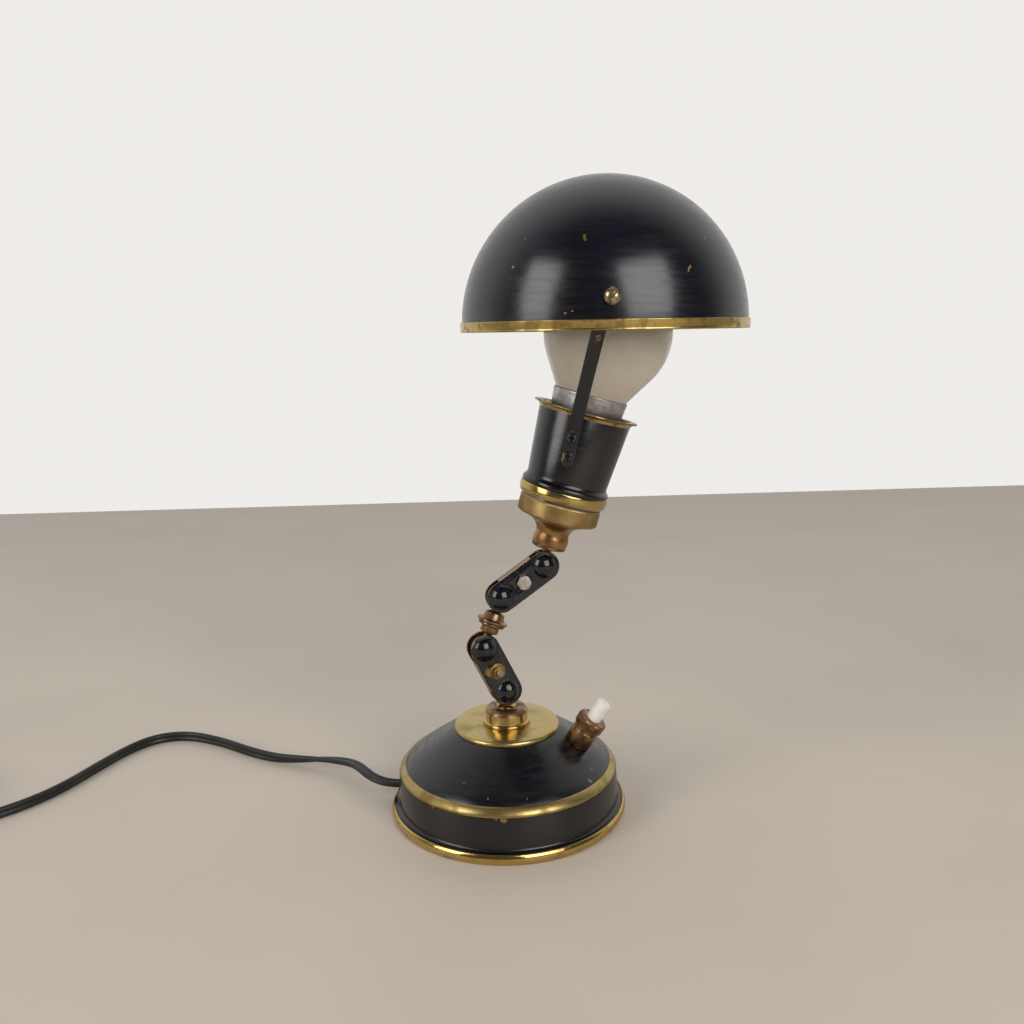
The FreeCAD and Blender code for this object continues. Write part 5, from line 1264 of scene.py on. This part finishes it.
# ------------------------------------------------------------------ hanger
@dataclass(frozen=True)
class Hanger:
    """Two bent strips riveted to the cup, and the slotted screws that the shade tilts on."""

    head: float = 3.4
    head_seat: float = 64.35
    head_height: float = 2.2
    slot_width: float = 0.8
    slot_depth: float = 0.9
    slot_turn: float = 60.0
    strip_x_foot: float = -3.0
    strip_x_bend: float = -6.8
    rivet_heights: tuple[float, float] = (55.3, 63.6)
    rivet: float = 2.2

    def build(self) -> None:
        """Builds the strips, rivets and screws."""
        place = PLACES["holder"]
        for side in ("front", "back"):
            strip = reworked(f"bent_{side}_strip", f"{side}_strip", 0.16)
            stand_in(strip, f"{side}_strip", STRIP_LACQUER, place)
        rivets = [self.rivet_at(height, mirrored) for height in self.rivet_heights for mirrored in (False,
                                                                                                    True)]
        stand_in(set_in(joined("cupped_rivets", rivets), place), "strip_rivets", STRIP_LACQUER, place)

        pivot = PLACES["pivot"]
        screws = [set_in(self.screw(), turn(angle, "Z") @ turn(-90, "X")) for angle in (0, 180)]
        stand_in(set_in(joined("slotted_screws", screws), pivot), "pivot_screws", SCREW_METAL, pivot)

    def strip_x(self, height: float) -> float:
        """Middle of a strip at a height."""
        share = (height - 50.5) / (112.5 - 50.5)
        return self.strip_x_foot + (self.strip_x_bend - self.strip_x_foot) * share

    def cup_radius(self, height: float) -> float:
        """Outside of the cup at a height."""
        return 19.1 + 2.5 * (height - 43.0) / 30.3

    def rivet_at(self, height: float, mirrored: bool) -> bpy.types.Object:
        """One rivet with a cupped head, through strip and cup.

        Args:
            height: Its height on the cup.
            mirrored: Whether it belongs to the front strip.

        Returns:
            The rivet, in the holder's frame.
        """
        face = self.cup_radius(height + self.rivet) + 1.05
        inside = self.cup_radius(height - self.rivet) - 0.9
        rivet = turned("rivet", [
            (0, inside - 0.7), (1.76, inside - 0.7), (1.76, inside), (1.2, inside), (1.2, face), (2.05, face),
            Arc((self.rivet, face + 0.18), (1.95, face + 0.42)), Arc((1.55, face + 0.62), (1.1, face + 0.42)),
            (0.9, face + 0.12), (0, face + 0.1)], edge=0, steps=40)
        smooth(rivet, 50.0)
        out = math.degrees(math.asin(-self.strip_x(height) / self.cup_radius(height)))
        spin = out if not mirrored else 180.0 - out
        return set_in(rivet, turn(spin, "Z") @ shift(0, 0, height) @ turn(-90, "X"))

    def screw(self) -> bpy.types.Object:
        """Slotted screw up +Z, its head outside the shade.

        Returns:
            The screw, about the origin.
        """
        seat, top = self.head_seat, self.head_seat + self.head_height
        screw = turned("screw", [
            (0, 58.0), (1.5, 58.0), (1.5, seat), (self.head, seat), (self.head, seat + 0.6),
            Arc((self.head * 0.62, top - 0.42), (0, top))], edge=0.1, steps=56)
        slot = bar(Vector((-5, -self.slot_width / 2, top - self.slot_depth)),
                   Vector((5, self.slot_width / 2, top + 2)))
        set_in(slot, turn(self.slot_turn, "Z"))
        cut(screw, slot)
        smooth(screw)
        return screw


SCREW_METAL = Metal("screw_metal", (0.42, 0.35, 0.22), (0.15, 0.11, 0.07), (0.24, 0.46), patch=1.8,
                    tarnish=(0.4, 0.6),
                    grain=Grain.CAST, relief=0.03)


# ------------------------------------------------------------------ shade
@dataclass(frozen=True)
class Shade:
    """Half-round lacquered shade with a brass band round its edge."""

    radius: float = 64.25
    wall: float = 0.8
    skirt: float = 2.6
    band: float = 4.3

    def build(self) -> None:
        """Builds the dome and its band."""
        place = PLACES["shade"]
        inner = self.radius - self.wall
        eighth = math.sqrt(0.5)
        dome = turned("lacquered_dome", [
            (0, self.radius), Arc((self.radius * eighth, self.radius * eighth), (self.radius, 0)),
            (self.radius, -self.skirt), (inner, -self.skirt), (inner, 0),
            Arc((inner * eighth, inner * eighth), (0, inner))],
            edge=0, steps=160, arc_step=2.5)
        stand_in(set_in(dome, place), "shade_dome", DOME_LACQUER, place)
        bottom = -self.skirt - 0.55
        top = bottom + self.band
        band = turned("brass_band", [
            (inner, bottom), (64.75, bottom), Arc((65.0, bottom + 0.12), (65.05, bottom + 0.5)),
            (64.98, bottom + 0.75), (65.02, bottom + 1.0), (65.05, top - 0.45),
            Arc((64.98, top - 0.12), (64.7, top)),
            (64.3, top), (64.3, -self.skirt - 0.05), (inner, -self.skirt - 0.05)], edge=0.05, steps=160)
        stand_in(set_in(band, place), "shade_rim", RIM_BRASS, place)


RIM_BRASS = Metal("rim_brass", (0.49, 0.355, 0.125), (0.26, 0.18, 0.06), (0.2, 0.38), patch=5.0,
                  tarnish=(0.46, 0.66), relief=0.03)


# ------------------------------------------------------------------ cord and plug
@dataclass(frozen=True)
class MainsCord:
    """Flat twin cord: out of the skirt, over in a low arch, along the table and into a coil."""

    width: float = 5.6
    exit_point: tuple[float, float, float] = (-54.26, 4.75, 9.3)
    route: tuple[tuple[float, float, float], ...] = (
        (-60.1, 5.3, 9.6), (-65.46, 7.52, 10.3), (-69.93, 11.21, 10.9), (-73.13, 16.05, 11.0),
        (-79.3, 25.8, 10.2), (-88.5, 34.5, 8.2), (-101.0, 42.5, 5.6), (-113.0, 47.2, 3.8),
        (-127.0, 51.4, 2.8), (-143.0, 60.0, 2.8), (-163.0, 74.5, 2.8), (-186.0, 85.5, 2.8),
        (-204.0, 82.0, 2.8), (-214.5, 68.0, 2.8), (-222.5, 48.5, 2.8), (-232.0, 22.5, 2.8),
        (-247.0, 2.5, 2.8), (-268.0, -11.5, 2.8), (-289.5, -24.0, 2.8))
    pitch: float = 6.3
    turns_per_layer: float = 3.42
    coil_middle: float = 5.5
    tail: float = 28.0
    points_per_turn: int = 16
    lobe: float = 1.4
    flat_until: float = 42.0
    on_edge_from: float = 105.0
    real_length: float = 1.745

    def coil_points(self) -> list[Vector]:
        """Control points of the two-layer coil and its tail, in millimetres.

        Returns:
            The points, from the coil's start to the cord's end.
        """
        joint = Vector(self.route[-1])
        heading = (joint - Vector(self.route[-2])).normalized()
        inward = self.pitch / FULL_TURN
        sweep = FULL_TURN * self.turns_per_layer
        total = 2 * sweep + math.pi
        outer = self.coil_middle * self.width + self.pitch * self.turns_per_layer / 2
        first = math.atan2(heading.y, heading.x) + math.pi / 2
        start = joint + heading * self.width
        centre = start - Vector((math.cos(first), math.sin(first), 0)) * outer
        innermost = outer - inward * sweep
        count = round(total / FULL_TURN * self.points_per_turn)
        proud = 1 / math.cos(math.pi / self.points_per_turn)
        points = []
        for k in range(count + 1):
            angle = total * k / count
            past = angle - sweep
            if past <= 0:
                radius, rise = outer - inward * angle, 0.0
            elif past >= math.pi:
                radius, rise = innermost + inward * (past - math.pi), self.pitch
            else:
                share = past / math.pi
                radius = innermost - inward * math.sin(past)
                rise = self.pitch * share * share * (3 - 2 * share)
            outward = radius * (1.0 if k in (0, count) else proud)
            points.append(centre + Vector((outward * math.cos(first - angle),
                                           outward * math.sin(first - angle), rise)))
        away = Vector((math.sin(first - total), -math.cos(first - total), 0))
        points += [points[-1] + away * self.tail * share for share in (0.34, 0.67, 1.0)]
        return points

    def line(self) -> list[Vector]:
        """The cord's line, read from its NURBS spline.

        Returns:
            Points in metres.
        """
        control = [Vector(p) for p in (self.exit_point, *self.route)] + self.coil_points()
        curve = bpy.data.curves.new("cord_route", "CURVE")
        curve.dimensions = "3D"
        curve.resolution_u = 5
        spline = curve.splines.new("NURBS")
        spline.points.add(len(control) - 1)
        for point, place in zip(spline.points, control):
            point.co = (*(place * MM), 1.0)
        spline.order_u = 3
        spline.use_endpoint_u = True
        guide = bpy.data.objects.new("cord_route", curve)
        bpy.context.scene.collection.objects.link(guide)
        bpy.context.view_layer.update()
        mesh = bpy.data.meshes.new_from_object(guide)
        points = [vertex.co.copy() for vertex in mesh.vertices]
        bpy.data.meshes.remove(mesh)
        bpy.data.objects.remove(guide)
        return points

    def section(self) -> list[Point]:
        """Two round leads with a web between them, across and up, in millimetres."""
        angles = [math.radians(a) for a in range(-150, 151, 30)]
        right = [(self.lobe + self.lobe * math.cos(a), self.lobe * math.sin(a)) for a in angles]
        left = [(-x, -y) for x, y in right]
        return right + left

    def build(self) -> None:
        path = self.line()
        section = self.section()
        vertices: list[Vector] = []
        walked = 0.0
        last = len(path) - 1
        for k, here in enumerate(path):
            way = (path[min(k + 1, last)] - path[max(k - 1, 0)]).normalized()
            side = Vector((0, 0, 1)).cross(way).normalized()
            up = way.cross(side)
            share = min(1.0, max(0.0, (walked / MM - self.flat_until) / (self.on_edge_from - self.flat_until)))
            roll = math.radians(90) * share * share * (3 - 2 * share)
            wide = side * math.cos(roll) + up * math.sin(roll)
            thin = up * math.cos(roll) - side * math.sin(roll)
            vertices += [here + (wide * x + thin * y) * MM for x, y in section]
            if k < last:
                walked += (path[k + 1] - here).length
        count = len(section)
        faces = [tuple(reversed(range(count))), tuple(range(last * count, (last + 1) * count))]
        for k in range(last):
            for j in range(count):
                after = (j + 1) % count
                faces.append((k * count + j, k * count + after, (k + 1) * count + after, (k + 1) * count + j))
        mesh = bpy.data.meshes.new("flat_twin_cord")
        mesh.from_pydata(vertices, [], faces)
        cord = bpy.data.objects.new("flat_twin_cord", mesh)
        bpy.context.scene.collection.objects.link(cord)
        edit(cord, weld_and_face_out)
        smooth(cord, 50.0)
        stand_in(cord, ("mains_cord", "mains_cord_coil"), CORD_BLACK, PLACES["foot"])
        LOG.info("cord is %.3f m long", walked)
        self.plug()

    def plug(self) -> bpy.types.Object:
        """Moulded plug with softened edges."""
        plug = reworked("moulded_plug", "plug_body", 1.1, 20.0)
        return stand_in(plug, "plug_body", PLUG_BLACK, PLACES["foot"])


# ------------------------------------------------------------------ nodes that keep their CAD shape
CARRIED: dict[str, Finish] = {
    "felt_pad": FELT, "bottom_plate": DARK_STEEL, "iron_weight": IRON, "tie_tube": DARK_STEEL,
    "tie_nut": DARK_STEEL,
    "base_leads": CORD_BLACK, "switch_body": BROWN_PLASTIC, "switch_lock_nut": AGED,
    "cord_grommet": PLUG_BLACK,
    "plug_pins": POLISHED, "lower_link_leads": CORD_BLACK, "upper_link_leads": CORD_BLACK,
    "holder_core": DARK_STEEL,
    "socket_insulator": CERAMIC, "socket_sleeve": AGED, "centre_contact": AGED, "bulb_cap": ALUMINIUM,
    "bulb_contact": DARK_STEEL, "pivot_washers": STEEL, "pivot_nuts": STEEL,
}


def dress_carried() -> None:
    """Gives every CAD node that still shows its own finish."""
    for node, thing in frame["nodes"].items():
        if node in CARRIED:
            thing.material_slots[0].material = WARDROBE.material(CARRIED[node], Coordinates.OBJECT)
            LOG.info("%s keeps its CAD shape", node)
        elif not thing.hide_render:
            raise ValueError(f"{node} has no finish")


# ------------------------------------------------------------------ studio
@dataclass(frozen=True)
class Window:
    """Soft lamp that stands for a window of the room."""

    name: str
    direction: tuple[float, float, float]
    size: tuple[float, float]
    power: float
    colour: tuple[float, float, float] = (1.0, 0.97, 0.93)
    distance: float = 1.6

    def hang(self) -> None:
        """Puts the lamp in the scene, facing the object."""
        light = bpy.data.lights.new(self.name, "AREA")
        light.shape = "RECTANGLE"
        light.size, light.size_y = self.size
        light.energy = self.power
        light.color = self.colour
        lamp = bpy.data.objects.new(self.name, light)
        bpy.context.scene.collection.objects.link(lamp)
        target = Vector((0.02, 0.0, 0.17))
        away = Vector(self.direction).normalized()
        lamp.location = target + away * self.distance
        lamp.rotation_euler = away.to_track_quat("Z", "Y").to_euler()


@dataclass(frozen=True)
class Camera:
    """Camera where the photograph was taken from."""

    location: tuple[float, float, float] = (0.0, -0.424, 0.2282)
    pitch_down: float = 10.914
    roll: float = -1.507
    yaw: float = 0.715
    focal_pixels: float = 925.0
    picture_pixels: float = 1024.0
    sensor: float = 36.0

    def place(self) -> None:
        """Adds the camera and makes it the scene's own."""
        down, roll, yaw = (math.radians(a) for a in (self.pitch_down, self.roll, self.yaw))
        ahead = Vector((math.sin(yaw) * math.cos(down), math.cos(yaw) * math.cos(down), -math.sin(down)))
        level = Vector((math.cos(yaw), -math.sin(yaw), 0))
        upright = level.cross(ahead)
        right = level * math.cos(roll) + upright * math.sin(roll)
        up = upright * math.cos(roll) - level * math.sin(roll)
        data = bpy.data.cameras.new("photographer")
        data.sensor_width = self.sensor
        data.lens = self.focal_pixels / self.picture_pixels * self.sensor
        data.clip_start = 0.01
        camera = bpy.data.objects.new("photographer", data)
        bpy.context.scene.collection.objects.link(camera)
        axes = Matrix((right, up, -ahead)).transposed().to_4x4()
        camera.matrix_world = Matrix.Translation(self.location) @ axes
        bpy.context.scene.camera = camera


@dataclass(frozen=True)
class Studio:
    """Plain pale table top, pale room and two windows."""

    table_back: float = 0.85
    table_front: float = -2.4
    table_half: float = 2.6
    wall: tuple[float, float, float] = (0.86, 0.84, 0.82)
    room: float = 0.10
    table: tuple[float, float, float] = (0.60, 0.54, 0.47)

    def build(self) -> None:
        """Builds table, world and lamps, and sets plain colour management."""
        bpy.ops.object.select_all(action="DESELECT")
        bpy.ops.mesh.primitive_plane_add(size=1)
        table = bpy.context.object
        table.name = "table_top"
        depth = self.table_back - self.table_front
        middle = (self.table_back + self.table_front) / 2
        set_in(table, Matrix.Translation((0, middle, 0)) @ Matrix.Diagonal((2 * self.table_half, depth, 1,
                                                                            1)))
        bench = NodeBench("table_top", Coordinates.OBJECT)
        tint = bench.ramp(bench.noise(120.0, 3.0), 0.3, 0.7)
        paler = tuple(min(1.0, c * 1.05) for c in self.table)
        bench.link(bench.blend(tint, self.table, paler), bench.shader.inputs["Base Color"])
        bench.shader.inputs["Roughness"].default_value = 0.6
        table.data.materials.append(bench.material)
        self.light_room()
        Window("left_window", (-0.79, -0.47, 0.42), (0.72, 1.15), 11.0).hang()
        Window("right_window", (0.455, -0.79, 0.43), (1.0, 1.15), 15.0).hang()
        bpy.context.scene.view_settings.view_transform = "Standard"

    def light_room(self) -> None:
        """World that is pale behind the object and to the camera, and dim behind the camera."""
        world = bpy.data.worlds.new("room")
        bpy.context.scene.world = world
        world.use_nodes = True
        tree = world.node_tree
        tree.nodes.clear()
        direction = tree.nodes.new("ShaderNodeTexCoord")
        parts = tree.nodes.new("ShaderNodeSeparateXYZ")
        tree.links.new(direction.outputs["Generated"], parts.inputs[0])
        back = tree.nodes.new("ShaderNodeMapRange")
        back.interpolation_type = "SMOOTHSTEP"
        tree.links.new(parts.outputs["Y"], back.inputs["Value"])
        for key, value in (("From Min", -0.25), ("From Max", 0.45), ("To Min", self.room), ("To Max", 0.92)):
            back.inputs[key].default_value = value
        ray = tree.nodes.new("ShaderNodeLightPath")
        strength = tree.nodes.new("ShaderNodeMix")
        tree.links.new(ray.outputs["Is Camera Ray"], strength.inputs["Factor"])
        tree.links.new(back.outputs["Result"], strength.inputs[2])
        strength.inputs[3].default_value = 1.0
        background = tree.nodes.new("ShaderNodeBackground")
        background.inputs["Color"].default_value = (*self.wall, 1.0)
        tree.links.new(strength.outputs[0], background.inputs["Strength"])
        output = tree.nodes.new("ShaderNodeOutputWorld")
        tree.links.new(background.outputs[0], output.inputs["Surface"])


def main() -> None:
    """Builds the lamp's sub-assemblies in order, and then the studio."""
    logging.basicConfig(level=logging.INFO, format="%(message)s")
    Camera().place()
    MainsCord().build()
    foot = Foot()
    foot.build()
    Switch().build(foot)
    Link("lower_link", CHIPPED_LINK_LACQUER, NICKEL, AGED, True).build()
    Link("upper_link", LINK_LACQUER, NICKEL, AGED, False).build()
    Studs().build()
    Lampholder().build()
    Bulb().build()
    Hanger().build()
    Shade().build()
    dress_carried()
    Studio().build()


if __name__ == "__main__":
    main()
